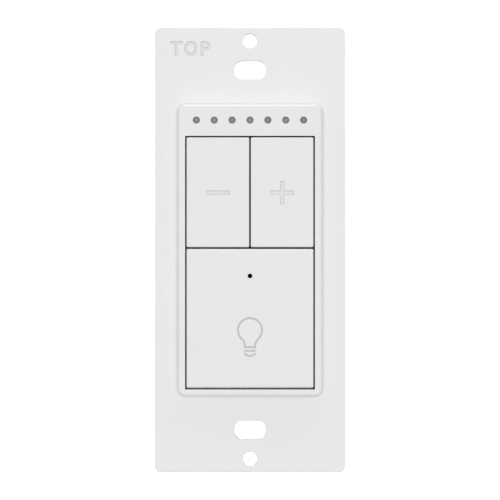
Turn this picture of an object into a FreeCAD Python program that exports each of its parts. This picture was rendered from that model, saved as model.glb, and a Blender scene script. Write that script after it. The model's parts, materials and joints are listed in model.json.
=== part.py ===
import FreeCAD, Part
import math
import os

# Push-key wall dimmer on a metal strap.
# Frame: X right, Z up, Y to the back. The origin is the centre of the strap's rear face,
# which sits on the wall. The keys face -Y and the housing reaches back along +Y.
# All sizes are millimetres.

# ---- strap ----
STRAP_W = 44.0
STRAP_H = 103.0
STRAP_T = 1.6
STRAP_CORNER_R = 1.3
STRAP_EDGE_R = 0.3
PLATE_HOLE_SPACING = 96.84
PLATE_HOLE_R = 1.65
BOX_SLOT_SPACING = 83.34
BOX_SLOT_W = 7.2
BOX_SLOT_H = 4.2
BOX_SLOT_R = 1.75
LETTER_Z = 46.6
LETTER_H = 3.35
LETTER_STROKE = 0.58
LETTER_DEPTH = 0.15
T_X = -17.06
T_HALF = 1.4
T_BAR = 0.46
O_X = -13.72
O_HALF = 1.45
P_X = -11.4
P_W = 2.2
P_BOWL_H = 2.0
REBATE = 0.2

# ---- bezel and keys ----
BEZEL_W = 33.1
BEZEL_H = 66.7
BEZEL_PROUD = 5.8
BEZEL_CORNER_R = 1.8
BEZEL_EDGE_R = 1.05
BEZEL_FACE_T = 1.5
BEZEL_BAR_Z = 27.25
BEZEL_END_WALL = 1.75
LEG_X = 15.55
LEG_ZS = (20.0, -8.0)
LEG_T = 1.2
LEG_W = 4.0
BARB = 0.6

GAP = 0.28
GAP_X = 14.55
GAP_TOP_Z = 25.70
GAP_MIDDLE_Z = 0.45
GAP_BOTTOM_Z = -31.48
KEY_PROUD = 0.08
KEY_WALL = 1.3
KEY_DEPTH = 3.1
KEY_SIDE_R = 0.25
SMALL_KEY_RADII = (0.25, 0.45)
PADDLE_RADII = (0.5, 0.7)

TRUNNION_R = 0.80
TRUNNION_CLEAR = 0.04
PIVOT_Y = -4.55
SMALL_PIVOT_Z = 22.40
PADDLE_PIVOT_Z = -2.80
LEVER_ARM = 12.0
POST_T = 1.4
POST_HALF_Z = 1.45
POST_INSET = 2.55
EAR_HALF_Z = 1.4
EAR_BACK = 0.2
PUSHER_R = 1.1
PUSHER_GAP = 0.08

CARRIER_T = 1.6
PEG_R = 0.9
PEGS = [(-6.5, 2.6), (6.5, 2.6), (-6.5, -28.0), (6.5, -28.0)]

# ---- icons, sunk into the keys ----
ICON_DEPTH = 0.15
SIGN_Z = 12.98
SIGN_LEN = 5.2
SIGN_STROKE = 0.9
BULB_Z = -18.15
BULB_R = 2.72
BULB_STROKE = 0.36
BULB_OPEN_DEG = 45.0
NECK_HALF = 1.13
NECK_TOP_Z = -21.1
NECK_END_Z = -22.0
THREAD_Z = -22.8
FOOT_Z = -23.5
FOOT_SAG = 0.48

# ---- lights ----
LED_COUNT = 7
LED_PITCH = 4.05
LED_Z = 29.43
LED_PIPE_R = 0.76
LED_HOLE_R = 0.79
LED_BODY = (1.6, 0.6, 0.8)
STATUS_Z = -5.87
STATUS_R = 0.49
STATUS_PIPE_R = 0.7

# ---- boards and what they carry ----
BARRIER_Y = 1.2
BARRIER_T = 0.8
BARRIER_BUMPS = [(-10.0, 20.0), (10.0, 20.0), (-10.0, -5.0), (10.0, -5.0)]
UI_BOARD_Y = 2.6
UI_BOARD_T = 1.0
BOARD_HALF_W = 18.0
BOARD_TOP_Z = 31.1
UI_BOARD_LOW_Z = -8.8
TONGUE_HALF_W = 6.1
TONGUE_LOW_Z = -18.7
POWER_BOARD_Y = 13.0
POWER_BOARD_T = 1.6
TACT_W = 6.0
TACT_T = 3.4
PLUNGER_R = 1.7
PLUNGER_CLEAR = 0.05
PLUNGER_T = 1.0
PLUNGER_ROOT = 0.5
TACT_WELL = 0.95
MOSFET_X = 12.2
MOSFET_W = 10.2
MOSFET_TOP_Z = -10.9
MOSFET_BODY_H = 9.2
MOSFET_TAB_H = 6.1
MOSFET_BODY_T = 4.5
MOSFET_TAB_T = 1.3
MOSFET_LEG_PITCH = 2.54
PAD_T = 0.45
TAB_HOLE_DROP = 12.7
TAB_HOLE_R = 1.8
TAB_SCREW_R = 1.45
HEADER_Z = -6.0
HEADER_PINS = 6
HEADER_PITCH = 2.54
HEADER_STRIP = 2.5
HEADER_PIN_W = 0.64
RADIO_BOARD = (9.0, -1.0, 24.0, 0.8)
RADIO_SHIELD = (7.5, 0.5, 16.5, 2.0, 0.6)
TAB_HEAD = (2.7, 1.8)
TAB_SLOT = (4.0, 0.7, 0.9)
CHOKE_Z = 18.0
CHOKE_GAP = 0.9
CHOKE_H = 6.5
CHOKE_OUTER_R = 6.6
CHOKE_INNER_R = 3.6
WIRE_T = 0.8
FILM_BOX = (13.0, 11.0, -6.4, -0.9, 0.6)
CAN_R = 4.0
CAN_X = 4.4
CAN_Z = -13.5
CAN_H = 12.0
CAN_GROOVE_Y = 1.6
CAN_GROOVE_R = 0.4
FUSE_R = 4.2
FUSE_Z = 4.6
FUSE_H = 7.5
SMALL_FILLET = 0.6

# ---- housing, fasteners, terminals ----
HOUSING_W = 41.0
HOUSING_H = 67.0
HOUSING_BACK_Y = 30.0
HOUSING_WALL = 1.8
COVER_SEAM = 0.05
LABEL_RECESS = (22.0, 38.0, 0.3, 1.5)
RIB_W = 4.0
RIB_T = 2.4
HOUSING_CORNER_R = 3.0
HOUSING_EDGE_R = 1.5
SCREW_X = 16.1
SCREW_Z = 29.1
SCREW_R = 1.22
SCREW_BORE_R = 1.25
SCREW_HEAD_R = 2.3
SCREW_HEAD_T = 1.2
SCREW_SEAT_Y = 28.7
SCREW_CLEAR = 0.2
SCREW_FILLET = 0.4
SCREW_TIP_Y = 0.5
CROSS_SLOT = (2.6, 0.7)
CROSS_SLOT_SHARE = 0.26
STANDOFF_R = 2.5
STANDOFF_ROOT_Y = -0.9
STANDOFF_BACK_Y = 5.0
POST_R = 3.3
TERMINAL_X = 15.15
TERMINAL_Z = 11.0
TERMINAL_W = 6.5
TERMINAL_H = 8.0
WIRE_BORE_R = 1.7
WIRE_BORE_DEPTH = 10.6
COLLAR_R = 2.15
COLLAR_INSET = 0.3
WIRE_HOLE_R = 2.3
CLAMP_SCREW_Y = 23.0
CLAMP_HEAD_R = 2.2
CLAMP_HEAD_T = 1.6
CLAMP_HEAD_CLEAR = 0.3
CLAMP_SHANK_R = 1.2
CLAMP_SHANK_L = 1.1
THREAD_CLEAR = 0.03
CLAMP_SLOT = (0.7, 0.8)
GROUND_W = 9.0
GROUND_DROP = 4.3
GROUND_T = 0.8
GROUND_RISE = 9.0
GROUND_HEAD_R = 3.0
GROUND_HEAD_T = 2.2
GROUND_SCREW_Y = 5.4
GROUND_SHANK_R = 1.6
GROUND_SLOT = (0.8, 0.9)
GROUND_GAP = 0.4
FOOT_CLEAR = 0.2

# ---- places that follow from the sizes ----
FRONT_Y = -STRAP_T
FACE_Y = FRONT_Y - BEZEL_PROUD
KEY_FACE_Y = FACE_Y - KEY_PROUD
KEY_BACK_Y = KEY_FACE_Y + KEY_DEPTH
CARRIER_Y = FRONT_Y - CARRIER_T
SMALL_KEY_X = GAP_X / 2.0
BOARD_Y = POWER_BOARD_Y + POWER_BOARD_T
CAVITY_X = HOUSING_W / 2.0 - HOUSING_WALL
CAVITY_Z = HOUSING_H / 2.0 - HOUSING_WALL
CAVITY_BACK_Y = HOUSING_BACK_Y - HOUSING_WALL
PLUNGER_TIP_Y = UI_BOARD_Y - TACT_T - PLUNGER_T
SEAT_Y = -REBATE
GROUND_LEG_Z = -HOUSING_H / 2.0 - GROUND_GAP
CHOKE_Y = BOARD_Y + CHOKE_GAP
TAB_HOLE_Z = MOSFET_TOP_Z - TAB_HOLE_DROP
TACTS = {
    "minus": (-SMALL_KEY_X, SMALL_PIVOT_Z - LEVER_ARM),
    "plus": (SMALL_KEY_X, SMALL_PIVOT_Z - LEVER_ARM),
    "power": (0.0, PADDLE_PIVOT_Z - LEVER_ARM),
}
TERMINALS = {
    "terminal_line": (-1, 1),
    "terminal_load": (1, 1),
    "terminal_neutral": (-1, -1),
    "terminal_traveler": (1, -1),
}
THROUGH = 1.0


# ---- helpers ----
def box(x0, x1, y0, y1, z0, z1):
    return Part.makeBox(x1 - x0, y1 - y0, z1 - z0, FreeCAD.Vector(x0, y0, z0))


def centred_box(x, z, width, height, y0, y1):
    return box(x - width / 2.0, x + width / 2.0, y0, y1, z - height / 2.0, z + height / 2.0)


def rod_y(r, x, z, y0, y1):
    return Part.makeCylinder(r, y1 - y0, FreeCAD.Vector(x, y0, z), FreeCAD.Vector(0, 1, 0))


def rod_x(r, x0, x1, y, z):
    return Part.makeCylinder(r, x1 - x0, FreeCAD.Vector(x0, y, z), FreeCAD.Vector(1, 0, 0))


def rod_z(r, x, y, z0, z1):
    return Part.makeCylinder(r, z1 - z0, FreeCAD.Vector(x, y, z0), FreeCAD.Vector(0, 0, 1))


def runs_along_y(edge):
    b = edge.BoundBox
    return b.XLength < 1e-6 and b.ZLength < 1e-6


def on_plane_y(edge, y):
    b = edge.BoundBox
    return b.YLength < 1e-6 and abs(b.YMin - y) < 1e-6


def rounded_block(x0, x1, y0, y1, z0, z1, r):
    """Block along Y whose outline in the XZ plane has corners of radius r."""
    block = box(x0, x1, y0, y1, z0, z1)
    return block.makeFillet(r, [e for e in block.Edges if runs_along_y(e)])


def round_rim(shape, y, r):
    """Round the outer edges that lie in the plane at y."""
    return shape.makeFillet(r, [e for e in shape.Edges if on_plane_y(e, y)])


def without(shape, tools):
    for tool in tools:
        shape = shape.cut(tool)
    return shape


def joined(shape, additions):
    for addition in additions:
        shape = shape.fuse(addition)
    return shape.removeSplitter()


def corner_points(x, z):
    return [(sx * x, sz * z) for sx in (-1, 1) for sz in (-1, 1)]


def led_xs():
    middle = (LED_COUNT - 1) / 2.0
    return [(i - middle) * LED_PITCH for i in range(LED_COUNT)]


def prism(points, push):
    """Closed outline of points pushed along a vector."""
    loop = [FreeCAD.Vector(*p) for p in points]
    face = Part.Face(Part.makePolygon(loop + [loop[0]]))
    return face.extrude(FreeCAD.Vector(*push))


def plan_points(pairs, y):
    return [(x, y, z) for x, z in pairs]


# ---- grooves ----
def stroke(points, width, y0, y1):
    """Round-ended bars of one width along a chain of (x, z) points."""
    solids = [rod_y(width / 2.0, x, z, y0, y1) for x, z in points]
    for (xa, za), (xb, zb) in zip(points, points[1:]):
        length = math.hypot(xb - xa, zb - za)
        side_x = -(zb - za) / length * width / 2.0
        side_z = (xb - xa) / length * width / 2.0
        outline = [(xa + side_x, za + side_z), (xb + side_x, zb + side_z),
                   (xb - side_x, zb - side_z), (xa - side_x, za - side_z)]
        solids.append(prism(plan_points(outline, y0), (0, y1 - y0, 0)))
    return solids


def bulb_tool(y0, y1):
    """Outline of a light bulb: globe, neck, one thread line and a curved foot."""
    half = BULB_STROKE / 2.0
    globe = rod_y(BULB_R + half, 0, BULB_Z, y0, y1)
    globe = globe.cut(rod_y(BULB_R - half, 0, BULB_Z, y0 - THROUGH, y1 + THROUGH))
    reach = 2.0 * BULB_R
    opening = [(0, BULB_Z), (-reach, BULB_Z - reach), (reach, BULB_Z - reach)]
    globe = globe.cut(prism(plan_points(opening, y0 - THROUGH), (0, y1 - y0 + 2 * THROUGH, 0)))
    leave = math.radians(BULB_OPEN_DEG)
    leave_x = BULB_R * math.sin(leave)
    leave_z = BULB_Z - BULB_R * math.cos(leave)
    shoulder = (leave_x + NECK_HALF) / 2.0
    neck = [(-leave_x, leave_z), (-shoulder + 0.1, (leave_z + NECK_TOP_Z) / 2.0),
            (-NECK_HALF, NECK_TOP_Z), (-NECK_HALF, NECK_END_Z)]
    neck += [(-x, z) for x, z in reversed(neck)]
    thread = [(-NECK_HALF, THREAD_Z), (NECK_HALF, THREAD_Z)]
    foot = []
    for i in range(7):
        t = i / 3.0 - 1.0
        foot.append((t * NECK_HALF, FOOT_Z - FOOT_SAG * (1.0 - t * t)))
    strokes = []
    for chain in (neck, thread, foot):
        strokes += stroke(chain, BULB_STROKE, y0, y1)
    return joined(globe, strokes)


def sign_tools(x, with_upright):
    """Minus sign, or a plus sign with its upright."""
    y0 = KEY_FACE_Y - THROUGH
    y1 = KEY_FACE_Y + ICON_DEPTH
    tools = [centred_box(x, SIGN_Z, SIGN_LEN, SIGN_STROKE, y0, y1)]
    if with_upright:
        tools.append(centred_box(x, SIGN_Z, SIGN_STROKE, SIGN_LEN, y0, y1))
    return tools


def letter_tools():
    """The word TOP, sunk into the front of the strap at its upper left."""
    y0 = FRONT_Y - THROUGH
    y1 = FRONT_Y + LETTER_DEPTH
    s = LETTER_STROKE
    low = LETTER_Z - LETTER_H / 2.0
    high = LETTER_Z + LETTER_H / 2.0
    letter_t = [box(T_X - T_HALF, T_X + T_HALF, y0, y1, high - T_BAR, high),
                box(T_X - s / 2.0, T_X + s / 2.0, y0, y1, low, high)]
    ring = rounded_block(O_X - O_HALF, O_X + O_HALF, y0, y1, low, high, O_HALF - 0.01)
    eye = rounded_block(O_X - O_HALF + s, O_X + O_HALF - s, y0 - THROUGH, y1 + THROUGH,
                        low + s, high - s, O_HALF - s - 0.01)
    bowl = rounded_block(P_X - P_BOWL_H, P_X + P_W, y0, y1, high - P_BOWL_H, high,
                         P_BOWL_H / 2.0 - 0.01)
    bowl = bowl.common(box(P_X, P_X + P_W, y0, y1, low, high))
    counter = box(P_X + s, P_X + P_W - s, y0 - THROUGH, y1 + THROUGH,
                  high - P_BOWL_H + s, high - s)
    stem = box(P_X, P_X + s, y0, y1, low, high)
    return letter_t + [ring.cut(eye), bowl.cut(counter), stem]


# ---- strap ----
def leg_slots(clear):
    slots = []
    for z in LEG_ZS:
        for x in (-LEG_X, LEG_X):
            slots.append(centred_box(x, z, LEG_T + 2 * clear, LEG_W + 2 * clear,
                                     FRONT_Y - THROUGH, THROUGH))
    return slots


def housing_rebate(clear):
    return rounded_block(-HOUSING_W / 2.0 - clear, HOUSING_W / 2.0 + clear, SEAT_Y, THROUGH,
                         -HOUSING_H / 2.0 - clear, HOUSING_H / 2.0 + clear,
                         HOUSING_CORNER_R + clear)


def mounting_strap():
    half_w = STRAP_W / 2.0
    half_h = STRAP_H / 2.0
    plate = rounded_block(-half_w, half_w, FRONT_Y, 0, -half_h, half_h, STRAP_CORNER_R)
    plate = round_rim(plate, FRONT_Y, STRAP_EDGE_R)
    y0 = FRONT_Y - THROUGH
    tools = []
    for sign in (-1, 1):
        tools.append(rod_y(PLATE_HOLE_R, 0, sign * PLATE_HOLE_SPACING / 2.0, y0, THROUGH))
        z = sign * BOX_SLOT_SPACING / 2.0
        tools.append(rounded_block(-BOX_SLOT_W / 2.0, BOX_SLOT_W / 2.0, y0, THROUGH,
                                   z - BOX_SLOT_H / 2.0, z + BOX_SLOT_H / 2.0, BOX_SLOT_R))
        tools.append(rod_y(TAB_SCREW_R + 0.03, sign * MOSFET_X, TAB_HOLE_Z, y0, THROUGH))
    for x, z in TACTS.values():
        tools.append(centred_box(x, z, TACT_W + 1.4, TACT_W + 1.4, y0, THROUGH))
    led_row = 2 * (led_xs()[-1] + LED_PIPE_R + 0.3)
    tools.append(centred_box(0, LED_Z, led_row, 2.4, y0, THROUGH))
    tools.append(rod_y(STATUS_PIPE_R + 0.1, 0, STATUS_Z, y0, THROUGH))
    for x, z in PEGS:
        tools.append(rod_y(PEG_R + 0.05, x, z, y0, THROUGH))
    for x, z in corner_points(SCREW_X, SCREW_Z):
        tools.append(rod_y(STANDOFF_R, x, z, STANDOFF_ROOT_Y, THROUGH))
    tools.append(housing_rebate(FOOT_CLEAR))
    tools.append(box(-GROUND_W / 2.0 - FOOT_CLEAR, GROUND_W / 2.0 + FOOT_CLEAR, SEAT_Y, THROUGH,
                     -HOUSING_H / 2.0 - GROUND_DROP - FOOT_CLEAR, -HOUSING_H / 2.0 + THROUGH))
    return without(plate, tools + leg_slots(0.15) + letter_tools())


def strap_standoffs():
    """Round threaded studs staked into blind pockets in the back of the strap."""
    studs = []
    for x, z in corner_points(SCREW_X, SCREW_Z):
        stud = rod_y(STANDOFF_R, x, z, STANDOFF_ROOT_Y, STANDOFF_BACK_Y)
        studs.append(stud.cut(rod_y(SCREW_BORE_R, x, z, 0, STANDOFF_BACK_Y + THROUGH)))
    return Part.makeCompound(studs)


# ---- bezel and carrier ----
def bezel_legs():
    """Snap legs that pass through the strap and hook behind it."""
    legs = []
    tip_y = 0.9
    for z in LEG_ZS:
        for sign in (-1, 1):
            x = sign * LEG_X
            legs.append(centred_box(x, z, LEG_T, LEG_W, FRONT_Y - 0.5, tip_y))
            side = x + sign * LEG_T / 2.0
            hook_y = SEAT_Y + 0.05
            barb = [(side, hook_y, z - LEG_W / 2.0), (side + sign * BARB, hook_y, z - LEG_W / 2.0),
                    (side, tip_y, z - LEG_W / 2.0)]
            legs.append(prism(barb, (0, 0, LEG_W)))
    return legs


def front_bezel():
    half_w = BEZEL_W / 2.0
    half_h = BEZEL_H / 2.0
    shell = rounded_block(-half_w, half_w, FACE_Y, FRONT_Y, -half_h, half_h, BEZEL_CORNER_R)
    shell = round_rim(shell, FACE_Y, BEZEL_EDGE_R)
    inner_x = GAP_X + GAP / 2.0
    back_y = FRONT_Y + THROUGH
    pocket_y = FACE_Y + BEZEL_FACE_T
    tools = [
        box(-inner_x, inner_x, FACE_Y - THROUGH, back_y,
            GAP_BOTTOM_Z - GAP / 2.0, GAP_TOP_Z + GAP / 2.0),
        box(-inner_x, inner_x, pocket_y, back_y, BEZEL_BAR_Z, half_h - BEZEL_END_WALL),
        box(-inner_x, inner_x, CARRIER_Y - 0.05, back_y, GAP_TOP_Z, BEZEL_BAR_Z + THROUGH),
    ]
    for x in led_xs():
        tools.append(rod_y(LED_HOLE_R, x, LED_Z, FACE_Y - THROUGH, pocket_y + THROUGH))
    return joined(without(shell, tools), bezel_legs())


def post_places():
    """(x, z) of every pivot post: two for each key, just inside its side walls."""
    places = []
    for key_x, pivot_z, half in key_spans():
        for side in (-1, 1):
            places.append((key_x + side * (half - POST_INSET), pivot_z))
    return places


def key_spans():
    """(centre x, pivot z, half width) of the three keys."""
    small_half = (GAP_X - GAP) / 2.0
    paddle_half = GAP_X - GAP / 2.0
    return [(-SMALL_KEY_X, SMALL_PIVOT_Z, small_half), (SMALL_KEY_X, SMALL_PIVOT_Z, small_half),
            (0.0, PADDLE_PIVOT_Z, paddle_half)]


def key_carrier():
    side = GAP_X - 0.05
    plate = rounded_block(-side, side, CARRIER_Y, FRONT_Y, GAP_BOTTOM_Z + 0.05,
                          BEZEL_H / 2.0 - BEZEL_END_WALL - 0.15, 0.8)
    post_top_y = PIVOT_Y - TRUNNION_R - 0.55
    adds = []
    cuts = []
    for x, z in post_places():
        adds.append(centred_box(x, z, POST_T, 2 * POST_HALF_Z, post_top_y, CARRIER_Y + 0.2))
        cuts.append(rod_x(TRUNNION_R + TRUNNION_CLEAR, x - POST_T, x + POST_T, PIVOT_Y, z))
    for x, z in PEGS:
        adds.append(rod_y(PEG_R, x, z, FRONT_Y - 0.2, SEAT_Y - 0.05))
    for x, z in TACTS.values():
        cuts.append(rod_y(PLUNGER_R + 0.5, x, z, CARRIER_Y - THROUGH, 0))
    led_row = 2 * (led_xs()[-1] + LED_PIPE_R + 0.2)
    cuts.append(centred_box(0, LED_Z, led_row, 2.2, CARRIER_Y - THROUGH, 0))
    cuts.append(rod_y(STATUS_PIPE_R + 0.05, 0, STATUS_Z, CARRIER_Y - THROUGH, 0))
    return without(joined(plate, adds), cuts)


# ---- keys ----
def key_cap(x0, x1, z0, z1, radii):
    """Key cap with its top and bottom front edges rounded by their own radii."""
    top_r, low_r = radii
    f = KEY_FACE_Y
    b = KEY_BACK_Y
    mid = math.sqrt(0.5)

    def at(y, z):
        return FreeCAD.Vector(x0, y, z)

    low_c = (f + low_r, z0 + low_r)
    top_c = (f + top_r, z1 - top_r)
    edges = [
        Part.makeLine(at(b, z0), at(f + low_r, z0)),
        Part.Arc(at(f + low_r, z0), at(low_c[0] - low_r * mid, low_c[1] - low_r * mid),
                 at(f, z0 + low_r)).toShape(),
        Part.makeLine(at(f, z0 + low_r), at(f, z1 - top_r)),
        Part.Arc(at(f, z1 - top_r), at(top_c[0] - top_r * mid, top_c[1] + top_r * mid),
                 at(f + top_r, z1)).toShape(),
        Part.makeLine(at(f + top_r, z1), at(b, z1)),
        Part.makeLine(at(b, z1), at(b, z0)),
    ]
    cap = Part.Face(Part.Wire(edges)).extrude(FreeCAD.Vector(x1 - x0, 0, 0))
    sides = [e for e in cap.Edges if e.BoundBox.XLength < 1e-6 and not on_plane_y(e, b)]
    cap = cap.makeFillet(KEY_SIDE_R * 0.98, sides)
    w = KEY_WALL
    return cap.cut(box(x0 + w, x1 - w, f + w, b + THROUGH, z0 + w, z1 - w))


def key_works(key_x, pivot_z, half, tact):
    """Ears and trunnions at the pivot, and the pusher over the tact switch."""
    works = []
    inner_y = KEY_FACE_Y + KEY_WALL
    ear_back_y = PIVOT_Y + TRUNNION_R + EAR_BACK
    for side in (-1, 1):
        wall_x = key_x + side * (half - KEY_WALL)
        ear_x = wall_x + side * KEY_WALL * 0.4
        works.append(centred_box(ear_x, pivot_z, KEY_WALL * 0.8, 2 * EAR_HALF_Z,
                                 inner_y - 0.1, ear_back_y))
        tip_x = key_x + side * (half - POST_INSET - POST_T / 2.0 - 0.1)
        low = min(wall_x, tip_x) - (0.2 if side < 0 else 0.0)
        high = max(wall_x, tip_x) + (0.2 if side > 0 else 0.0)
        works.append(rod_x(TRUNNION_R, low, high, PIVOT_Y, pivot_z))
    works.append(rod_y(PUSHER_R, tact[0], tact[1], inner_y - 0.1, PLUNGER_TIP_Y - PUSHER_GAP))
    return works


def small_key(sign):
    half = (GAP_X - GAP) / 2.0
    key_x = sign * SMALL_KEY_X
    cap = key_cap(key_x - half, key_x + half, GAP_MIDDLE_Z + GAP / 2.0, GAP_TOP_Z - GAP / 2.0,
                  SMALL_KEY_RADII)
    tact = TACTS["plus" if sign > 0 else "minus"]
    key = joined(cap, key_works(key_x, SMALL_PIVOT_Z, half, tact))
    return without(key, sign_tools(key_x, sign > 0))


def minus_key():
    return small_key(-1)


def plus_key():
    return small_key(1)


def power_paddle():
    half = GAP_X - GAP / 2.0
    cap = key_cap(-half, half, GAP_BOTTOM_Z + GAP / 2.0, GAP_MIDDLE_Z - GAP / 2.0, PADDLE_RADII)
    key = joined(cap, key_works(0.0, PADDLE_PIVOT_Z, half, TACTS["power"]))
    bulb = bulb_tool(KEY_FACE_Y - THROUGH, KEY_FACE_Y + ICON_DEPTH)
    window = rod_y(STATUS_R, 0, STATUS_Z, KEY_FACE_Y - THROUGH, KEY_FACE_Y + KEY_WALL + THROUGH)
    return without(key, [bulb, window])


def status_lens():
    return rod_y(STATUS_R, 0, STATUS_Z, KEY_FACE_Y + 0.12, KEY_FACE_Y + KEY_WALL + 0.1)


# ---- lights ----
def level_light_pipes():
    bar = centred_box(0, LED_Z, 2 * (led_xs()[-1] + 1.5), 3.0, CARRIER_Y - 1.8, CARRIER_Y)
    pins = [rod_y(LED_PIPE_R, x, LED_Z, FACE_Y, UI_BOARD_Y - LED_BODY[1] - 0.1)
            for x in led_xs()]
    return joined(bar, pins)


def level_leds():
    width, tall, high = LED_BODY
    bodies = [centred_box(x, LED_Z, width, high, UI_BOARD_Y - tall, UI_BOARD_Y)
              for x in led_xs()]
    return Part.makeCompound(bodies)


def status_led():
    width, tall, high = LED_BODY
    return centred_box(0, STATUS_Z, width, high, UI_BOARD_Y - tall, UI_BOARD_Y)


def status_light_pipe():
    pipe = rod_y(STATUS_PIPE_R, 0, STATUS_Z, KEY_FACE_Y + KEY_WALL + 0.5,
                 UI_BOARD_Y - LED_BODY[1] - 0.1)
    return joined(pipe, [rod_y(1.4, 0, STATUS_Z, CARRIER_Y - 0.6, CARRIER_Y)])


# ---- boards ----
def board_blank(y0, y1, low_z, grow, corner_clear_r):
    """Board outline, notched round the corner studs, with a tongue to the paddle's switch."""
    plate = box(-BOARD_HALF_W - grow, BOARD_HALF_W + grow, y0, y1, low_z - grow,
                BOARD_TOP_Z + grow)
    tongue = box(-TONGUE_HALF_W - grow, TONGUE_HALF_W + grow, y0, y1, TONGUE_LOW_Z - grow,
                 low_z + THROUGH)
    notches = [rod_y(corner_clear_r, x, SCREW_Z, y0 - THROUGH, y1 + THROUGH)
               for x in (-SCREW_X, SCREW_X)]
    return without(joined(plate, [tongue]), notches)


def insulating_barrier():
    y1 = BARRIER_Y + BARRIER_T
    plate = board_blank(BARRIER_Y, y1, UI_BOARD_LOW_Z, 0.2, STANDOFF_R + 0.3)
    cuts = [centred_box(x, z, TACT_W + 0.5, TACT_W + 0.5, 0, 3) for x, z in TACTS.values()]
    led_row = 2 * (led_xs()[-1] + LED_BODY[0] / 2.0 + 0.2)
    cuts.append(centred_box(0, LED_Z, led_row, 2.0, 0, 3))
    cuts.append(centred_box(0, STATUS_Z, LED_BODY[0] + 0.4, 1.8, 0, 3))
    bumps = [rod_y(1.2, x, z, SEAT_Y, UI_BOARD_Y) for x, z in BARRIER_BUMPS]
    return joined(without(plate, cuts), bumps)


def ui_board():
    return board_blank(UI_BOARD_Y, UI_BOARD_Y + UI_BOARD_T, UI_BOARD_LOW_Z, 0.0,
                       STANDOFF_R + 0.3)


def tact_body(tact):
    x, z = tact
    front_y = UI_BOARD_Y - TACT_T
    half = TACT_W / 2.0
    body = rounded_block(x - half, x + half, front_y, UI_BOARD_Y, z - half, z + half, 0.5)
    return body.cut(rod_y(PLUNGER_R + PLUNGER_CLEAR, x, z, front_y - THROUGH,
                          front_y + TACT_WELL))


def tact_plunger(tact):
    x, z = tact
    root_y = UI_BOARD_Y - TACT_T + PLUNGER_ROOT
    plunger = rod_y(PLUNGER_R, x, z, PLUNGER_TIP_Y, root_y)
    return plunger.makeChamfer(0.15, [e for e in plunger.Edges if on_plane_y(e, PLUNGER_TIP_Y)])


def radio_board():
    back_y = UI_BOARD_Y + UI_BOARD_T
    half_w, low_z, high_z, thick = RADIO_BOARD
    return box(-half_w, half_w, back_y, back_y + thick, low_z, high_z)


def radio_shield():
    back_y = UI_BOARD_Y + UI_BOARD_T + RADIO_BOARD[3]
    half_w, low_z, high_z, tall, corner_r = RADIO_SHIELD
    return rounded_block(-half_w, half_w, back_y, back_y + tall, low_z, high_z, corner_r)


def board_header():
    """Two plastic strips joined by the pins that link the boards."""
    span = HEADER_PINS * HEADER_PITCH
    t = HEADER_STRIP
    y0 = UI_BOARD_Y + UI_BOARD_T
    strip = centred_box(0, HEADER_Z, span, t, y0, y0 + t)
    parts = [centred_box(0, HEADER_Z, span, t, POWER_BOARD_Y - t, POWER_BOARD_Y)]
    for i in range(HEADER_PINS):
        x = (i - (HEADER_PINS - 1) / 2.0) * HEADER_PITCH
        parts.append(centred_box(x, HEADER_Z, HEADER_PIN_W, HEADER_PIN_W, y0, POWER_BOARD_Y))
    return joined(strip, parts)


def power_board():
    y1 = POWER_BOARD_Y + POWER_BOARD_T
    board = box(-BOARD_HALF_W, BOARD_HALF_W, POWER_BOARD_Y, y1, -BOARD_TOP_Z, BOARD_TOP_Z)
    notches = [rod_y(POST_R + 0.3, x, z, POWER_BOARD_Y - THROUGH, y1 + THROUGH)
               for x, z in corner_points(SCREW_X, SCREW_Z)]
    return without(board, notches)


# ---- power parts ----
def mosfet(sign):
    x = sign * MOSFET_X
    y0 = SEAT_Y + PAD_T
    low_z = MOSFET_TOP_Z - MOSFET_BODY_H
    body = centred_box(x, MOSFET_TOP_Z - MOSFET_BODY_H / 2.0, MOSFET_W, MOSFET_BODY_H,
                       y0, y0 + MOSFET_BODY_T)
    tab = box(x - MOSFET_W / 2.0, x + MOSFET_W / 2.0, y0, y0 + MOSFET_TAB_T,
              low_z - MOSFET_TAB_H, low_z + 1.0)
    leg_y = y0 + 2.4
    legs = []
    for i in (-1, 0, 1):
        leg_x = x + i * MOSFET_LEG_PITCH
        legs.append(box(leg_x - 0.4, leg_x + 0.4, leg_y, leg_y + 0.5,
                        MOSFET_TOP_Z - 0.5, MOSFET_TOP_Z + 1.3))
        legs.append(box(leg_x - 0.4, leg_x + 0.4, leg_y, POWER_BOARD_Y,
                        MOSFET_TOP_Z + 0.8, MOSFET_TOP_Z + 1.3))
    whole = joined(body, [tab] + legs)
    return whole.cut(rod_y(TAB_HOLE_R, x, TAB_HOLE_Z, y0 - THROUGH, y0 + 3))


def mosfet_left():
    return mosfet(-1)


def mosfet_right():
    return mosfet(1)


def thermal_pads():
    pads = []
    for sign in (-1, 1):
        x = sign * MOSFET_X
        middle_z = MOSFET_TOP_Z - (MOSFET_BODY_H + MOSFET_TAB_H) / 2.0
        pad = centred_box(x, middle_z, MOSFET_W + 0.4, MOSFET_BODY_H + MOSFET_TAB_H + 0.4,
                          SEAT_Y, SEAT_Y + PAD_T)
        pads.append(pad.cut(rod_y(TAB_HOLE_R, x, TAB_HOLE_Z, -THROUGH, THROUGH)))
    return Part.makeCompound(pads)


def mosfet_screws():
    screws = []
    tab_y = SEAT_Y + PAD_T + MOSFET_TAB_T
    head_r, head_t = TAB_HEAD
    slot_l, slot_w, slot_depth = TAB_SLOT
    for sign in (-1, 1):
        x = sign * MOSFET_X
        head = rod_y(head_r, x, TAB_HOLE_Z, tab_y, tab_y + head_t)
        screw = joined(head, [rod_y(TAB_SCREW_R, x, TAB_HOLE_Z, FRONT_Y + 0.1, tab_y)])
        screws.append(screw.cut(centred_box(x, TAB_HOLE_Z, slot_l, slot_w,
                                            tab_y + head_t - slot_depth, tab_y + 2 * head_t)))
    return Part.makeCompound(screws)


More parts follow.
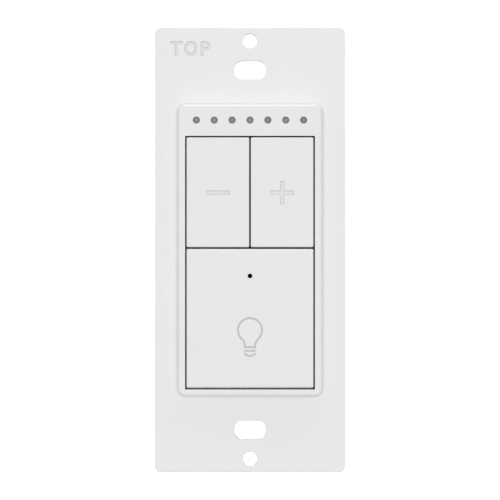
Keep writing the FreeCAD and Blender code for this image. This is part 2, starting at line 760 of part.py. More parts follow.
def choke_core():
    core = rod_y(CHOKE_OUTER_R, 0, CHOKE_Z, CHOKE_Y, CHOKE_Y + CHOKE_H)
    return core.cut(rod_y(CHOKE_INNER_R, 0, CHOKE_Z, CHOKE_Y - 1, CHOKE_Y + CHOKE_H + 1))


def choke_winding():
    """Copper turns round the core, taken as one close-wound layer."""
    turns = rod_y(CHOKE_OUTER_R + WIRE_T, 0, CHOKE_Z, CHOKE_Y - WIRE_T,
                  CHOKE_Y + CHOKE_H + WIRE_T)
    hole = rod_y(CHOKE_INNER_R - WIRE_T, 0, CHOKE_Z, CHOKE_Y - 2, CHOKE_Y + CHOKE_H + 2)
    start = box(-1.5, 1.5, CHOKE_Y - 2, CHOKE_Y + CHOKE_H + 2, CHOKE_Z, CHOKE_Z + 9)
    return without(turns, [hole, choke_core(), start])


def film_capacitor():
    width, tall, low_z, high_z, corner_r = FILM_BOX
    return rounded_block(-width / 2.0, width / 2.0, BOARD_Y, BOARD_Y + tall, low_z, high_z,
                         corner_r)


def bulk_capacitors():
    cans = []
    for x in (-CAN_X, CAN_X):
        can = rod_y(CAN_R, x, CAN_Z, BOARD_Y, BOARD_Y + CAN_H)
        groove = Part.makeTorus(CAN_R + CAN_GROOVE_R / 2.0, CAN_GROOVE_R,
                                FreeCAD.Vector(x, BOARD_Y + CAN_GROOVE_Y, CAN_Z),
                                FreeCAD.Vector(0, 1, 0))
        cans.append(can.cut(groove))
    return Part.makeCompound(cans)


def fuse():
    top_y = BOARD_Y + FUSE_H
    body = rod_y(FUSE_R, 0, FUSE_Z, BOARD_Y, top_y)
    return body.makeFillet(SMALL_FILLET, [e for e in body.Edges if on_plane_y(e, top_y)])


# ---- housing and fasteners ----
def housing_block(y0, y1):
    return rounded_block(-HOUSING_W / 2.0, HOUSING_W / 2.0, y0, y1, -HOUSING_H / 2.0,
                         HOUSING_H / 2.0, HOUSING_CORNER_R)


def rear_housing():
    """Four walls with a screw post in each corner and a rib inside each long wall."""
    shell = housing_block(SEAT_Y, CAVITY_BACK_Y)
    cavity = rounded_block(-CAVITY_X, CAVITY_X, SEAT_Y - THROUGH, CAVITY_BACK_Y + THROUGH,
                           -CAVITY_Z, CAVITY_Z, HOUSING_CORNER_R - HOUSING_WALL)
    adds = []
    cuts = []
    for x, z in corner_points(SCREW_X, SCREW_Z):
        adds.append(rod_y(POST_R, x, z, STANDOFF_BACK_Y, CAVITY_BACK_Y))
        cuts.append(rod_y(SCREW_R + SCREW_CLEAR, x, z, STANDOFF_BACK_Y - THROUGH,
                          CAVITY_BACK_Y + THROUGH))
    for sign in (-1, 1):
        adds.append(centred_box(sign * (CAVITY_X - RIB_T / 2.0 + 0.3), 0, RIB_T, RIB_W,
                                BOARD_Y, CAVITY_BACK_Y))
    for sx, sz in TERMINALS.values():
        ends = sorted((sx * (CAVITY_X - THROUGH), sx * (HOUSING_W / 2.0 + THROUGH)))
        cuts.append(rod_x(CLAMP_HEAD_R + CLAMP_HEAD_CLEAR, ends[0], ends[1], CLAMP_SCREW_Y,
                          sz * TERMINAL_Z))
    return without(joined(shell.cut(cavity), adds), cuts)


def rear_cover():
    """Plate that closes the housing, with the wire holes and the sunk screw seats."""
    cover = round_rim(housing_block(CAVITY_BACK_Y + COVER_SEAM, HOUSING_BACK_Y),
                      HOUSING_BACK_Y, HOUSING_EDGE_R)
    y0 = CAVITY_BACK_Y - THROUGH
    y1 = HOUSING_BACK_Y + THROUGH
    cuts = [rod_y(WIRE_HOLE_R, sx * TERMINAL_X, sz * TERMINAL_Z, y0, y1)
            for sx, sz in TERMINALS.values()]
    for x, z in corner_points(SCREW_X, SCREW_Z):
        cuts.append(rod_y(SCREW_R + SCREW_CLEAR, x, z, y0, y1))
        cuts.append(rod_y(SCREW_HEAD_R + SCREW_CLEAR, x, z, SCREW_SEAT_Y, y1))
    width, height, depth, corner_r = LABEL_RECESS
    cuts.append(rounded_block(-width / 2.0, width / 2.0, HOUSING_BACK_Y - depth, y1,
                              -height / 2.0, height / 2.0, corner_r))
    return without(cover, cuts)


def cross_slot(x, z, y, size, depth):
    narrow = size * CROSS_SLOT_SHARE
    return [centred_box(x, z, size, narrow, y - depth, y + THROUGH),
            centred_box(x, z, narrow, size, y - depth, y + THROUGH)]


def housing_screws():
    screws = []
    back_y = SCREW_SEAT_Y + SCREW_HEAD_T
    for x, z in corner_points(SCREW_X, SCREW_Z):
        head = rod_y(SCREW_HEAD_R, x, z, SCREW_SEAT_Y, back_y)
        head = head.makeFillet(SCREW_FILLET, [e for e in head.Edges if on_plane_y(e, back_y)])
        screw = joined(head, [rod_y(SCREW_R, x, z, SCREW_TIP_Y, SCREW_SEAT_Y)])
        screws.append(without(screw, cross_slot(x, z, back_y, *CROSS_SLOT)))
    return Part.makeCompound(screws)


def terminal(name):
    """Clamp block; its round collar lines the wire hole in the housing's rear wall."""
    sx, sz = TERMINALS[name]
    x = sx * TERMINAL_X
    z = sz * TERMINAL_Z
    block_y = CAVITY_BACK_Y - 0.1
    mouth_y = HOUSING_BACK_Y - COLLAR_INSET
    block = centred_box(x, z, TERMINAL_W, TERMINAL_H, BOARD_Y, block_y)
    body = joined(block, [rod_y(COLLAR_R, x, z, block_y - THROUGH, mouth_y)])
    bore = rod_y(WIRE_BORE_R, x, z, mouth_y - WIRE_BORE_DEPTH, mouth_y + THROUGH)
    return without(body, [bore, clamp_hole(sx, sz)])


def clamp_hole(sx, sz):
    face_x = TERMINAL_X + TERMINAL_W / 2.0
    ends = sorted((sx * (face_x - CLAMP_SHANK_L - 0.1), sx * (face_x + THROUGH)))
    return rod_x(CLAMP_SHANK_R + THREAD_CLEAR, ends[0], ends[1], CLAMP_SCREW_Y, sz * TERMINAL_Z)


def terminal_screws():
    screws = []
    face_x = TERMINAL_X + TERMINAL_W / 2.0
    for sx, sz in TERMINALS.values():
        z = sz * TERMINAL_Z
        head_ends = sorted((sx * face_x, sx * (face_x + CLAMP_HEAD_T)))
        shank_ends = sorted((sx * (face_x - CLAMP_SHANK_L), sx * face_x))
        head = rod_x(CLAMP_HEAD_R, head_ends[0], head_ends[1], CLAMP_SCREW_Y, z)
        screw = joined(head, [rod_x(CLAMP_SHANK_R, shank_ends[0], shank_ends[1],
                                    CLAMP_SCREW_Y, z)])
        slot_w, slot_depth = CLAMP_SLOT
        slot_x = sx * (face_x + CLAMP_HEAD_T)
        slot = box(slot_x - slot_depth, slot_x + slot_depth, CLAMP_SCREW_Y - CLAMP_HEAD_R - 1,
                   CLAMP_SCREW_Y + CLAMP_HEAD_R + 1, z - slot_w / 2.0, z + slot_w / 2.0)
        screws.append(screw.cut(slot))
    return Part.makeCompound(screws)


# ---- earth ----
def ground_clip():
    """Bent clip: its foot lies on the strap and its leg stands behind the housing's end."""
    half = GROUND_W / 2.0
    low_z = -HOUSING_H / 2.0 - GROUND_DROP
    foot = box(-half, half, SEAT_Y, SEAT_Y + GROUND_T, low_z, GROUND_LEG_Z)
    leg = box(-half, half, SEAT_Y, GROUND_RISE, GROUND_LEG_Z - GROUND_T, GROUND_LEG_Z)
    hole = rod_z(GROUND_SHANK_R + THREAD_CLEAR, 0, GROUND_SCREW_Y, GROUND_LEG_Z - 3,
                 GROUND_LEG_Z + THROUGH)
    return joined(foot, [leg]).cut(hole)


def ground_screw():
    """Hex head with a slot and a short thread in the clip."""
    seat_z = GROUND_LEG_Z - GROUND_T
    points = []
    for i in range(6):
        a = math.radians(60.0 * i + 30.0)
        points.append((GROUND_HEAD_R * math.cos(a), GROUND_SCREW_Y + GROUND_HEAD_R * math.sin(a),
                       seat_z))
    head = prism(points, (0, 0, -GROUND_HEAD_T))
    shank = rod_z(GROUND_SHANK_R, 0, GROUND_SCREW_Y, seat_z, GROUND_LEG_Z + GROUND_GAP / 2.0)
    slot_w, slot_depth = GROUND_SLOT
    slot_z = seat_z - GROUND_HEAD_T
    slot = box(-GROUND_HEAD_R - 1, GROUND_HEAD_R + 1, GROUND_SCREW_Y - slot_w / 2.0,
               GROUND_SCREW_Y + slot_w / 2.0, slot_z - THROUGH, slot_z + slot_depth)
    return joined(head, [shank]).cut(slot)


# ---- write every piece ----
def pieces():
    plain = [
        mounting_strap, strap_standoffs, front_bezel, key_carrier, minus_key, plus_key,
        power_paddle, status_lens, level_light_pipes, level_leds, status_led,
        status_light_pipe, insulating_barrier, ui_board, radio_board, radio_shield,
        board_header, power_board, mosfet_left, mosfet_right, thermal_pads, mosfet_screws,
        choke_core, choke_winding, film_capacitor, bulk_capacitors, fuse, rear_housing,
        rear_cover, housing_screws, terminal_screws, ground_clip, ground_screw,
    ]
    named = {maker.__name__: maker() for maker in plain}
    for key, tact in TACTS.items():
        named[key + "_tact"] = tact_body(tact)
        named[key + "_plunger"] = tact_plunger(tact)
    for name in TERMINALS:
        named[name] = terminal(name)
    return named


os.makedirs("parts", exist_ok=True)
for name, shape in pieces().items():
    shape.exportStep("parts/" + name + ".step")
    print(name, "valid", shape.isValid(), "solids", len(shape.Solids),
          "volume %.2f" % shape.Volume)
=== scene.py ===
import json
import math

import bpy
from mathutils import Matrix, Vector
from mathutils.geometry import tessellate_polygon


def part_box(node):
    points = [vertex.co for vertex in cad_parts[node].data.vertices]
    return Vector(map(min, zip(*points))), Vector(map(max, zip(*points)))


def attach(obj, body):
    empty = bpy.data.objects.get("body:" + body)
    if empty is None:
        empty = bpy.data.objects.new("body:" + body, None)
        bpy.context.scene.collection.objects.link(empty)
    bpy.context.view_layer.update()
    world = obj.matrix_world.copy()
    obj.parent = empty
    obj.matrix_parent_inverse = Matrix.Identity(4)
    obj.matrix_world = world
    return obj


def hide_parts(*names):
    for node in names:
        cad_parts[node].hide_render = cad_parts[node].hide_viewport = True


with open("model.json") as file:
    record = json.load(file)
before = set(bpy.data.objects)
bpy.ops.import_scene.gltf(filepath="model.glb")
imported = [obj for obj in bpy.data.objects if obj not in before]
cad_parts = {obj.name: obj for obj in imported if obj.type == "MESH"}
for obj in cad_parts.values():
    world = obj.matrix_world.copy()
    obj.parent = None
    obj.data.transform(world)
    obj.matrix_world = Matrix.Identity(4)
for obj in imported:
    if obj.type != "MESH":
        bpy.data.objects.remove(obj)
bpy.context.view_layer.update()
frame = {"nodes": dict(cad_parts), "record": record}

MM = 0.001
ARC_STEPS = 10
FRONT = (0, -1, 0)
BACK = (0, 1, 0)

# ---- sizes that the frame doesn't give, in millimetres ----
STRAP_CORNER_R = 1.3
STRAP_EDGE_R = 0.28
HOLE_SPACING = 96.84
HOLE_R = 1.65
SLOT_SPACING = 83.34
SLOT_SIZE = (7.2, 4.2)
SLOT_R = 1.75
HOLE_FLARE = 0.32
LETTER_Z = 46.6
LETTER_H = 3.35
LETTER_STROKE = 0.58
T_BAR = 0.46
BEZEL_WIDTH = 33.1
BEZEL_CORNER_R = 1.8
BEZEL_EDGE_R = 1.05
BEZEL_FACE_T = 1.5
BEZEL_BAR_Z = 27.25
BEZEL_END_WALL = 1.75
KEY_GAP = 0.28
KEY_CORNER_R = 0.3
KEY_WALL = 1.3
KEY_DEPTH = 3.1
KEY_INSET = 0.03
KEY_SIDE_R = 0.25
PIVOT_Y = -4.55
TRUNNION_R = 0.8
PUSHER_R = 1.1
SIGN_Z = 12.98
SIGN_LEN = 5.2
SIGN_STROKE = 0.9
BULB_Z = -18.15
BULB_R = 2.72
BULB_STROKE = 0.36
NECK_HALF = 1.13
LED_COUNT = 7
LED_PITCH = 4.05
LED_HOLE_R = 0.79
STATUS_Z = -5.87
STATUS_R = 0.52
GROOVE_DEPTH = 0.15
GROOVE_SLOPE = 0.08
GROOVE_SPILL = 0.01
HOUSING_CORNER_R = 3.0
HOUSING_EDGE_R = 1.5
HOUSING_WALL = 1.8
SCREW_X = 16.1
SCREW_Z = 29.1
TERMINAL_X = 15.15
TERMINAL_Z = 11.0
CLAMP_SCREW_Y = 23.0
CLAMP_HOLE_R = 2.5
SCREW_HEAD_R = 2.3
SCREW_HEAD_T = 1.2
SHANK_R = 1.2
TERMINAL_HEAD_R = 2.2
CLAMP_HEAD_T = 1.6
CLAMP_SHANK = 1.1
CLAMP_SLOT = (0.7, 0.8, 0.18)  # width, depth, edge radius
HEX_R = 3.0
EARTH_SLOT = (0.8, 0.9, 0.22)
WASHER_R = 2.75
WASHER_T = 0.3
EARTH_SHANK_R = 1.6
CLIP_T = 0.8
CLIP_HOLE_R = 1.63
SEAM_EDGE = 0.22
POST_R = 3.3
POST_FRONT_Y = 5.0
STUD_R = 2.5
SCREW_HOLE_R = 1.42
SEAT_CLEAR = 0.2
LABEL_RECESS = (22.0, 38.0, 0.3, 1.5)
WIRE_HOLE_R = 2.3
COLLAR_R = 2.15
COLLAR_LENGTH = 1.6
WIRE_BORE_R = 1.7
WIRE_BORE_DEPTH = 10.6
CLAMP_THREAD_R = 1.23
CLAMP_THREAD_DEPTH = 1.6
LEG_X = 15.55
LEG_ZS = (20.0, -8.0)
LEG_HALF_T = 0.6
LEG_HALF_H = 2.0
LEG_SLOT_CLEAR = 0.15
PEG_X = 6.5
PEG_ZS = (2.6, -28.0)
TAB_SCREW_X = 12.2
TAB_SCREW_Z = -23.6


def four_places(x, z):
    return [(-x, -z), (-x, z), (x, -z), (x, z)]


def box_mm(node):
    low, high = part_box(node)
    return [v / MM for v in low], [v / MM for v in high]


# ---- outlines: lists of (x, z, normal x, normal z), counter-clockwise seen from -Y ----
def rounded_rect(x0, x1, z0, z1, r, steps=ARC_STEPS):
    corners = [(x1 - r, z0 + r, -90), (x1 - r, z1 - r, 0), (x0 + r, z1 - r, 90),
               (x0 + r, z0 + r, 180)]
    points = []
    for cx, cz, start in corners:
        for i in range(steps + 1):
            a = math.radians(start + 90.0 * i / steps)
            points.append((cx + r * math.cos(a), cz + r * math.sin(a), math.cos(a), math.sin(a)))
    return points


def circle(x, z, r, steps=40):
    points = []
    for i in range(steps):
        a = 2.0 * math.pi * i / steps
        points.append((x + r * math.cos(a), z + r * math.sin(a), math.cos(a), math.sin(a)))
    return points


def mitred(points):
    """Gives corner normals to a plain list of (x, z) points, so that it can be offset."""
    result = []
    count = len(points)
    for i, (x, z) in enumerate(points):
        before = Vector(points[i]) - Vector(points[i - 1])
        after = Vector(points[(i + 1) % count]) - Vector(points[i])
        n1 = Vector((before.y, -before.x)).normalized()
        n2 = Vector((after.y, -after.x)).normalized()
        n = (n1 + n2) / (1.0 + n1.dot(n2))
        result.append((x, z, n.x, n.y))
    return result


def offset(outline, distance):
    return [(x + nx * distance, z + nz * distance, nx, nz) for x, z, nx, nz in outline]


def arc_points(cx, cz, r, start, end, steps):
    points = []
    for i in range(steps + 1):
        a = math.radians(start + (end - start) * i / steps)
        points.append((cx + r * math.cos(a), cz + r * math.sin(a)))
    return points


# ---- mesh building ----
def add_object(name, data):
    thing = bpy.data.objects.new(name, data)
    bpy.context.scene.collection.objects.link(thing)
    return thing


class Solid:
    """Collects vertices, faces, face materials and corner normals in millimetres."""

    def __init__(self, place=None):
        self.place = place or Matrix.Identity(4)
        self.turn = self.place.to_3x3()
        self.points = []
        self.faces = []
        self.normals = []
        self.slots = []

    def ring(self, outline, y):
        first = len(self.points)
        for i, p in enumerate(outline):
            depth = y[i] if isinstance(y, list) else y
            self.points.append(self.place @ Vector((p[0], depth, p[1])))
        return list(range(first, len(self.points)))

    def ring3(self, coordinates):
        first = len(self.points)
        self.points += [self.place @ Vector(c) for c in coordinates]
        return list(range(first, len(self.points)))

    def face(self, ids, slot=0, normals=None):
        if normals is None:
            a, b, c = (self.points[i] for i in ids[:3])
            flat = (b - a).cross(c - a).normalized()
            normals = [flat] * len(ids)
        self.faces.append(list(ids))
        self.normals += normals
        self.slots.append(slot)

    def cap(self, rings, towards, slot=0):
        """Flat face bounded by the first ring, with the other rings as holes in it."""
        order = [i for ring in rings for i in ring]
        towards = (self.turn @ Vector(towards)).normalized()
        triangles = []
        area = 0.0
        for triangle in tessellate_polygon([[self.points[i] for i in ring] for ring in rings]):
            ids = [order[i] for i in triangle]
            a, b, c = (self.points[i] for i in ids)
            area += (b - a).cross(c - a).dot(towards)
            triangles.append(ids)
        for ids in triangles:
            if area < 0:
                ids.reverse()
            self.face(ids, slot, [towards] * 3)

    def skin(self, front, back, front_n=None, back_n=None, slot=0, inward=False, skip=()):
        """Wall between two rings. With normals it is shaded round, without them flat."""
        count = len(front)
        for i in range(count):
            if i in skip:
                continue
            j = (i + 1) % count
            ids = [front[i], back[i], back[j], front[j]]
            normals = None
            if front_n is not None:
                normals = [front_n[i], back_n[i], back_n[j], front_n[j]]
                normals = [(self.turn @ n).normalized() for n in normals]
            if inward:
                ids.reverse()
                if normals:
                    normals = [-n for n in reversed(normals)]
            self.face(ids, slot, normals)

    def build(self, name, materials):
        mesh = bpy.data.meshes.new(name)
        mesh.from_pydata([p * MM for p in self.points], [], self.faces)
        mesh.update()
        for material in materials:
            mesh.materials.append(material)
        for polygon, slot in zip(mesh.polygons, self.slots):
            polygon.material_index = slot
            polygon.use_smooth = True
        mesh.normals_split_custom_set([tuple(n) for n in self.normals])
        return add_object(name, mesh)


def side_normals(outline):
    return [Vector((nx, 0.0, nz)).normalized() for _, _, nx, nz in outline]


def leaning_normals(outline, lean):
    """Normals that lean from the front (0 degrees) to the side (90 degrees)."""
    a = math.radians(lean)
    result = []
    for _, _, nx, nz in outline:
        side = Vector((nx, 0.0, nz)).normalized()
        result.append(side * math.sin(a) + Vector((0.0, -math.cos(a), 0.0)))
    return result


def rounded_edge(solid, outline, face_y, radius, steps=8, slot=0, inward=False):
    """Quarter-round from the front face out to the side. radius is one value or one per point.
    Returns the ring that bounds the front face and the ring where the side wall starts."""
    radii = radius if isinstance(radius, list) else [radius] * len(outline)
    sign = -1.0 if inward else 1.0
    rings = []
    for k in range(steps + 1):
        a = math.radians(90.0 * k / steps)
        points = []
        depths = []
        for (x, z, nx, nz), r in zip(outline, radii):
            inset = sign * r * (1.0 - math.sin(a))
            points.append((x - nx * inset, z - nz * inset))
            depths.append(face_y + r * (1.0 - math.cos(a)))
        rings.append(solid.ring(points, depths))
    for k in range(steps):
        normals = []
        for lean in (90.0 * k / steps, 90.0 * (k + 1) / steps):
            ring_normals = leaning_normals(outline, lean)
            if inward:
                ring_normals = [Vector((n.x, -n.y, n.z)) for n in ring_normals]
            normals.append(ring_normals)
        solid.skin(rings[k], rings[k + 1], normals[0], normals[1], slot, inward)
    return rings[0], rings[-1]


def wall(solid, ring, outline, y, slot=0, inward=False, smooth=True, skip=()):
    """Straight wall from a ring to depth y. Returns the new ring."""
    back = solid.ring(outline, y)
    normals = side_normals(outline) if smooth else None
    solid.skin(ring, back, normals, normals, slot, inward, skip)
    return back


def bores(solid, outlines, face_y, edge, steps, end_y):
    """Holes with rounded rims. Returns their rims and the rings where they end."""
    rims = []
    ends = []
    for outline in outlines:
        rim, inner = rounded_edge(solid, outline, face_y, edge, steps, 0, True)
        rims.append(rim)
        ends.append(wall(solid, inner, outline, end_y, 0, True))
    return rims, ends


def groove(solid, outline, face_y, slot_wall, slot_floor, depth=GROOVE_DEPTH):
    """Sunk shape with sloping walls. Returns its rim, a hole for the face's cap."""
    rim = solid.ring(offset(outline, GROOVE_SPILL), face_y)
    floor = solid.ring(offset(outline, GROOVE_SPILL - GROOVE_SLOPE), face_y + depth)
    # The wall and floor take the slots given; for the letters and icons these are darker greys,
    # painted shade in the recess
    solid.skin(rim, floor, slot=slot_wall, inward=True)
    solid.cap([floor], FRONT, slot_floor)
    return rim


def ring_groove(solid, outer, inner, face_y, slot_wall, slot_floor, slot_face,
                depth=GROOVE_DEPTH):
    """Sunk band between two outlines, with the face standing inside it."""
    inset = GROOVE_SPILL - GROOVE_SLOPE
    rim = solid.ring(offset(outer, GROOVE_SPILL), face_y)
    floor_out = solid.ring(offset(outer, inset), face_y + depth)
    island = solid.ring(offset(inner, -GROOVE_SPILL), face_y)
    floor_in = solid.ring(offset(inner, -inset), face_y + depth)
    # The walls and floor take the slots given; for the letters and icons these are darker greys,
    # painted shade in the recess
    solid.skin(rim, floor_out, slot=slot_wall, inward=True)
    solid.skin(island, floor_in, slot=slot_wall)
    solid.cap([floor_out, floor_in], FRONT, slot_floor)
    solid.cap([island], FRONT, slot_face)
    return rim


def lathe(solid, x, z, profile, slot=0, steps=32, sharp_deg=30.0):
    """Turned shape about a line along Y. profile runs from front to back as (radius, y)."""
    rings = []
    for r, y in profile:
        if r < 1e-6:
            rings.append(solid.ring3([(x, y, z)]))
        else:
            rings.append(solid.ring(circle(x, z, r, steps), y))
    slopes = []
    for (r0, y0), (r1, y1) in zip(profile, profile[1:]):
        slopes.append(Vector((y1 - y0, -(r1 - r0))).normalized())
    turned = circle(0, 0, 1, steps)
    for k in range(len(profile) - 1):
        here = slopes[k]
        ends = []
        for other in (k - 1, k + 1):
            n = here
            if 0 <= other < len(slopes) and here.angle(slopes[other], 0) < math.radians(sharp_deg):
                n = (here + slopes[other]).normalized()
            ends.append([Vector((c[2] * n.x, n.y, c[3] * n.x)) for c in turned])
        front, back = rings[k], rings[k + 1]
        if len(front) == 1 and len(back) == 1:
            continue
        if 1 in (len(front), len(back)):
            for i in range(steps):
                j = (i + 1) % steps
                if len(front) == 1:
                    ids, last = [front[0], back[i], back[j]], ends[1][j]
                else:
                    ids, last = [front[i], back[0], front[j]], ends[0][j]
                normals = [solid.turn @ n for n in (ends[0][i], ends[1][i], last)]
                solid.face(ids, slot, normals)
        else:
            solid.skin(front, back, ends[0], ends[1], slot)


# ---- materials ----
def node_material(name):
    material = bpy.data.materials.new(name)
    material.use_nodes = True
    tree = material.node_tree
    shader = tree.nodes["Principled BSDF"]
    coords = tree.nodes.new("ShaderNodeTexCoord")
    return material, tree, shader, coords


def noise(tree, coords, scale, detail=3.0, stretch=None):
    texture = tree.nodes.new("ShaderNodeTexNoise")
    texture.inputs["Scale"].default_value = scale
    texture.inputs["Detail"].default_value = detail
    source = coords.outputs["Object"]
    if stretch:
        mapping = tree.nodes.new("ShaderNodeMapping")
        mapping.inputs["Scale"].default_value = stretch
        tree.links.new(source, mapping.inputs["Vector"])
        source = mapping.outputs["Vector"]
    tree.links.new(source, texture.inputs["Vector"])
    return texture.outputs["Fac"]


def ranged(tree, value, *limits):
    node = tree.nodes.new("ShaderNodeMapRange")
    for name, limit in zip(("From Min", "From Max", "To Min", "To Max"), limits):
        node.inputs[name].default_value = limit
    tree.links.new(value, node.inputs["Value"])
    return node.outputs["Result"]


def spread(tree, value, low, high):
    """Stretches the middle of a noise texture's range to low...high."""
    return ranged(tree, value, 0.3, 0.7, low, high)


def tint(tree, value, dark, light):
    mix = tree.nodes.new("ShaderNodeMix")
    mix.data_type = "RGBA"
    mix.inputs["A"].default_value = (*dark, 1.0)
    mix.inputs["B"].default_value = (*light, 1.0)
    tree.links.new(value, mix.inputs["Factor"])
    return mix.outputs["Result"]


def bump(tree, shader, height, distance, strength=1.0):
    node = tree.nodes.new("ShaderNodeBump")
    node.inputs["Distance"].default_value = distance
    node.inputs["Strength"].default_value = strength
    tree.links.new(height, node.inputs["Height"])
    tree.links.new(node.outputs["Normal"], shader.inputs["Normal"])


def surface(name, colour, vary=0.02, rough=(0.4, 0.5), cloud=180.0, grain=7000.0,
            grain_depth=4e-6, metallic=0.0, specular=0.5, stretch=None):
    """Procedural finish: soft colour clouds, uneven gloss and a fine grain."""
    material, tree, shader, coords = node_material(name)
    clouds = noise(tree, coords, cloud)
    fine = noise(tree, coords, grain, 2.0, stretch)
    dark = [c * (1.0 - vary) for c in colour]
    light = [min(1.0, c * (1.0 + vary)) for c in colour]
    steps = spread(tree, clouds, 0.0, 1.0)
    tree.links.new(tint(tree, steps, dark, light), shader.inputs["Base Color"])
    tree.links.new(spread(tree, fine, *rough), shader.inputs["Roughness"])
    bump(tree, shader, fine, grain_depth)
    shader.inputs["Metallic"].default_value = metallic
    shader.inputs["Specular IOR Level"].default_value = specular
    return material


def grey(value):
    return (value, value, value)


# colour, colour variation, roughness range, cloud scale, grain scale, grain depth in metres,
# metallic, specular, stretch of the grain
FINISHES = {
    "white_plastic": (grey(0.80), 0.006, (0.27, 0.35), 90.0, 9000.0, 2.5e-6, 0.0, 0.35),
    # Painted shade: the next three greys are darker than the white faces and stand in for the
    # shade inside the sunk letters and icons
    "groove_wall_painted_shade": (grey(0.42), 0.01, (0.5, 0.6), 90.0, 9000.0, 2e-6, 0.0, 0.25),
    "groove_floor_painted_shade": (grey(0.76), 0.01, (0.5, 0.6), 90.0, 9000.0, 2e-6, 0.0, 0.25),
    "line_floor_painted_shade": (grey(0.66), 0.01, (0.5, 0.6), 90.0, 9000.0, 2e-6, 0.0, 0.25),
    "strap_paint": (grey(0.81), 0.006, (0.38, 0.5), 60.0, 2600.0, 4e-6, 0.0, 0.35),
    "carrier_plastic": (grey(0.008), 0.1, (0.5, 0.65), 200.0, 5000.0, 4e-6, 0.0, 0.2),
    "light_pipe": ((0.25, 0.255, 0.26), 0.10, (0.15, 0.3), 900.0, 5000.0, 3e-6),
    "light_pipe_rim": ((0.19, 0.19, 0.20), 0.05, (0.25, 0.4), 900.0, 5000.0, 3e-6),
    "smoke_lens": ((0.0005, 0.0005, 0.0006), 0.2, (0.35, 0.5), 900.0, 5000.0, 2e-6, 0.0, 0.02),
    "housing_plastic": ((0.045, 0.047, 0.05), 0.06, (0.5, 0.68), 120.0, 3800.0, 14e-6),
    "label_field": ((0.055, 0.057, 0.06), 0.04, (0.36, 0.48), 120.0, 6000.0, 4e-6),
    "barrier_plastic": ((0.62, 0.60, 0.53), 0.03, (0.45, 0.6)),
    "circuit_board": ((0.012, 0.11, 0.045), 0.12, (0.25, 0.4), 500.0, 9000.0, 3e-6),
    "led_body": ((0.80, 0.78, 0.62), 0.03, (0.15, 0.3)),
    "tact_plastic": ((0.02, 0.02, 0.022), 0.1, (0.4, 0.55)),
    "tact_button": ((0.55, 0.54, 0.50), 0.03, (0.4, 0.5)),
    "shield_steel": ((0.62, 0.62, 0.60), 0.05, (0.22, 0.36), 300.0, 5200.0, 3e-6, 1.0, 0.5,
        (0.06, 1.0, 1.0)),
    "black_epoxy": ((0.018, 0.018, 0.02), 0.12, (0.45, 0.6)),
    "thermal_rubber": ((0.20, 0.22, 0.25), 0.05, (0.6, 0.8)),
    "zinc_steel": ((0.60, 0.60, 0.57), 0.08, (0.24, 0.42), 700.0, 6000.0, 4e-6, 1.0),
    "ferrite": ((0.03, 0.14, 0.07), 0.06, (0.4, 0.6)),
    "copper_wire": ((0.60, 0.22, 0.07), 0.08, (0.2, 0.35), 800.0, 2400.0, 120e-6, 1.0, 0.5,
        (0.2, 1.0, 1.0)),
    "film_box": ((0.62, 0.38, 0.03), 0.03, (0.3, 0.45)),
    "can_sleeve": ((0.02, 0.025, 0.05), 0.05, (0.2, 0.35)),
    "fuse_box": ((0.12, 0.03, 0.02), 0.05, (0.3, 0.45)),
    "plated_brass": ((0.72, 0.50, 0.18), 0.06, (0.2, 0.36), 600.0, 6000.0, 4e-6, 1.0),
    # Painted shade: dull near-black for the insides of the terminals' wire bores and threaded
    # holes, so that they read as dark holes
    "bore_painted_shade": ((0.045, 0.036, 0.022), 0.15, (0.65, 0.8), 900.0, 5000.0, 6e-6, 0.0, 0.2),
    "nickel_brass": ((0.62, 0.60, 0.55), 0.06, (0.2, 0.36), 600.0, 6000.0, 4e-6, 1.0),
    "green_steel": ((0.02, 0.20, 0.06), 0.10, (0.25, 0.4), 600.0, 5000.0, 4e-6, 0.6),
}
MATERIALS = {name: surface(name, *finish) for name, finish in FINISHES.items()}


def finish_piece(solid, name, slots, body, nodes):
    piece = solid.build(name, [MATERIALS[s] for s in slots])
    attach(piece, body)
    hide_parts(*nodes)


# ---- strap ----
def letter_shapes():
    """T as one outline, O as two, and P as two."""
    s = LETTER_STROKE
    low = LETTER_Z - LETTER_H / 2.0
    high = LETTER_Z + LETTER_H / 2.0
    t_x = -17.06
    t_half = 1.4
    letter_t = [(t_x - s / 2, low), (t_x + s / 2, low), (t_x + s / 2, high - T_BAR),
                (t_x + t_half, high - T_BAR), (t_x + t_half, high), (t_x - t_half, high),
                (t_x - t_half, high - T_BAR), (t_x - s / 2, high - T_BAR)]
    o_x = -13.72
    o_half = 1.45
    o_out = rounded_rect(o_x - o_half, o_x + o_half, low, high, o_half - 0.01)
    o_in = rounded_rect(o_x - o_half + s, o_x + o_half - s, low + s, high - s, o_half - s - 0.01)
    p_x = -11.4
    p_w = 2.2
    bowl_h = 2.0
    bowl_r = bowl_h / 2.0 - 0.01
    bowl = arc_points(p_x + p_w - bowl_r, high - bowl_h + bowl_r, bowl_r, -90, 0, 6)
    bowl += arc_points(p_x + p_w - bowl_r, high - bowl_r, bowl_r, 0, 90, 6)
    p_out = [(p_x, low), (p_x + s, low), (p_x + s, high - bowl_h)] + bowl + [(p_x, high)]
    p_in = rounded_rect(p_x + s, p_x + p_w - s, high - bowl_h + s, high - s, 0.3, 4)
    return mitred(letter_t), (o_out, o_in), (mitred(p_out), p_in)


def rebate_outline():
    """Shallow seat in the strap's back: the housing's footprint and the earth clip's foot."""
    low, high = box_mm("rear_housing")
    clip_low = box_mm("ground_clip")[0]
    c = SEAT_CLEAR
    shell = rounded_rect(low[0] - c, high[0] + c, low[2] - c, high[2] + c, HOUSING_CORNER_R + c)
    tab_x = -clip_low[0] + c
    tab = [(-tab_x, low[2] - c), (-tab_x, clip_low[2] - c), (tab_x, clip_low[2] - c),
           (tab_x, low[2] - c)]
    return mitred([(x, z) for x, z, _, _ in shell] + tab)


def around(node, grow, r=0.3):
    low, high = box_mm(node)
    return rounded_rect(low[0] - grow, high[0] + grow, low[2] - grow, high[2] + grow, r, 4)


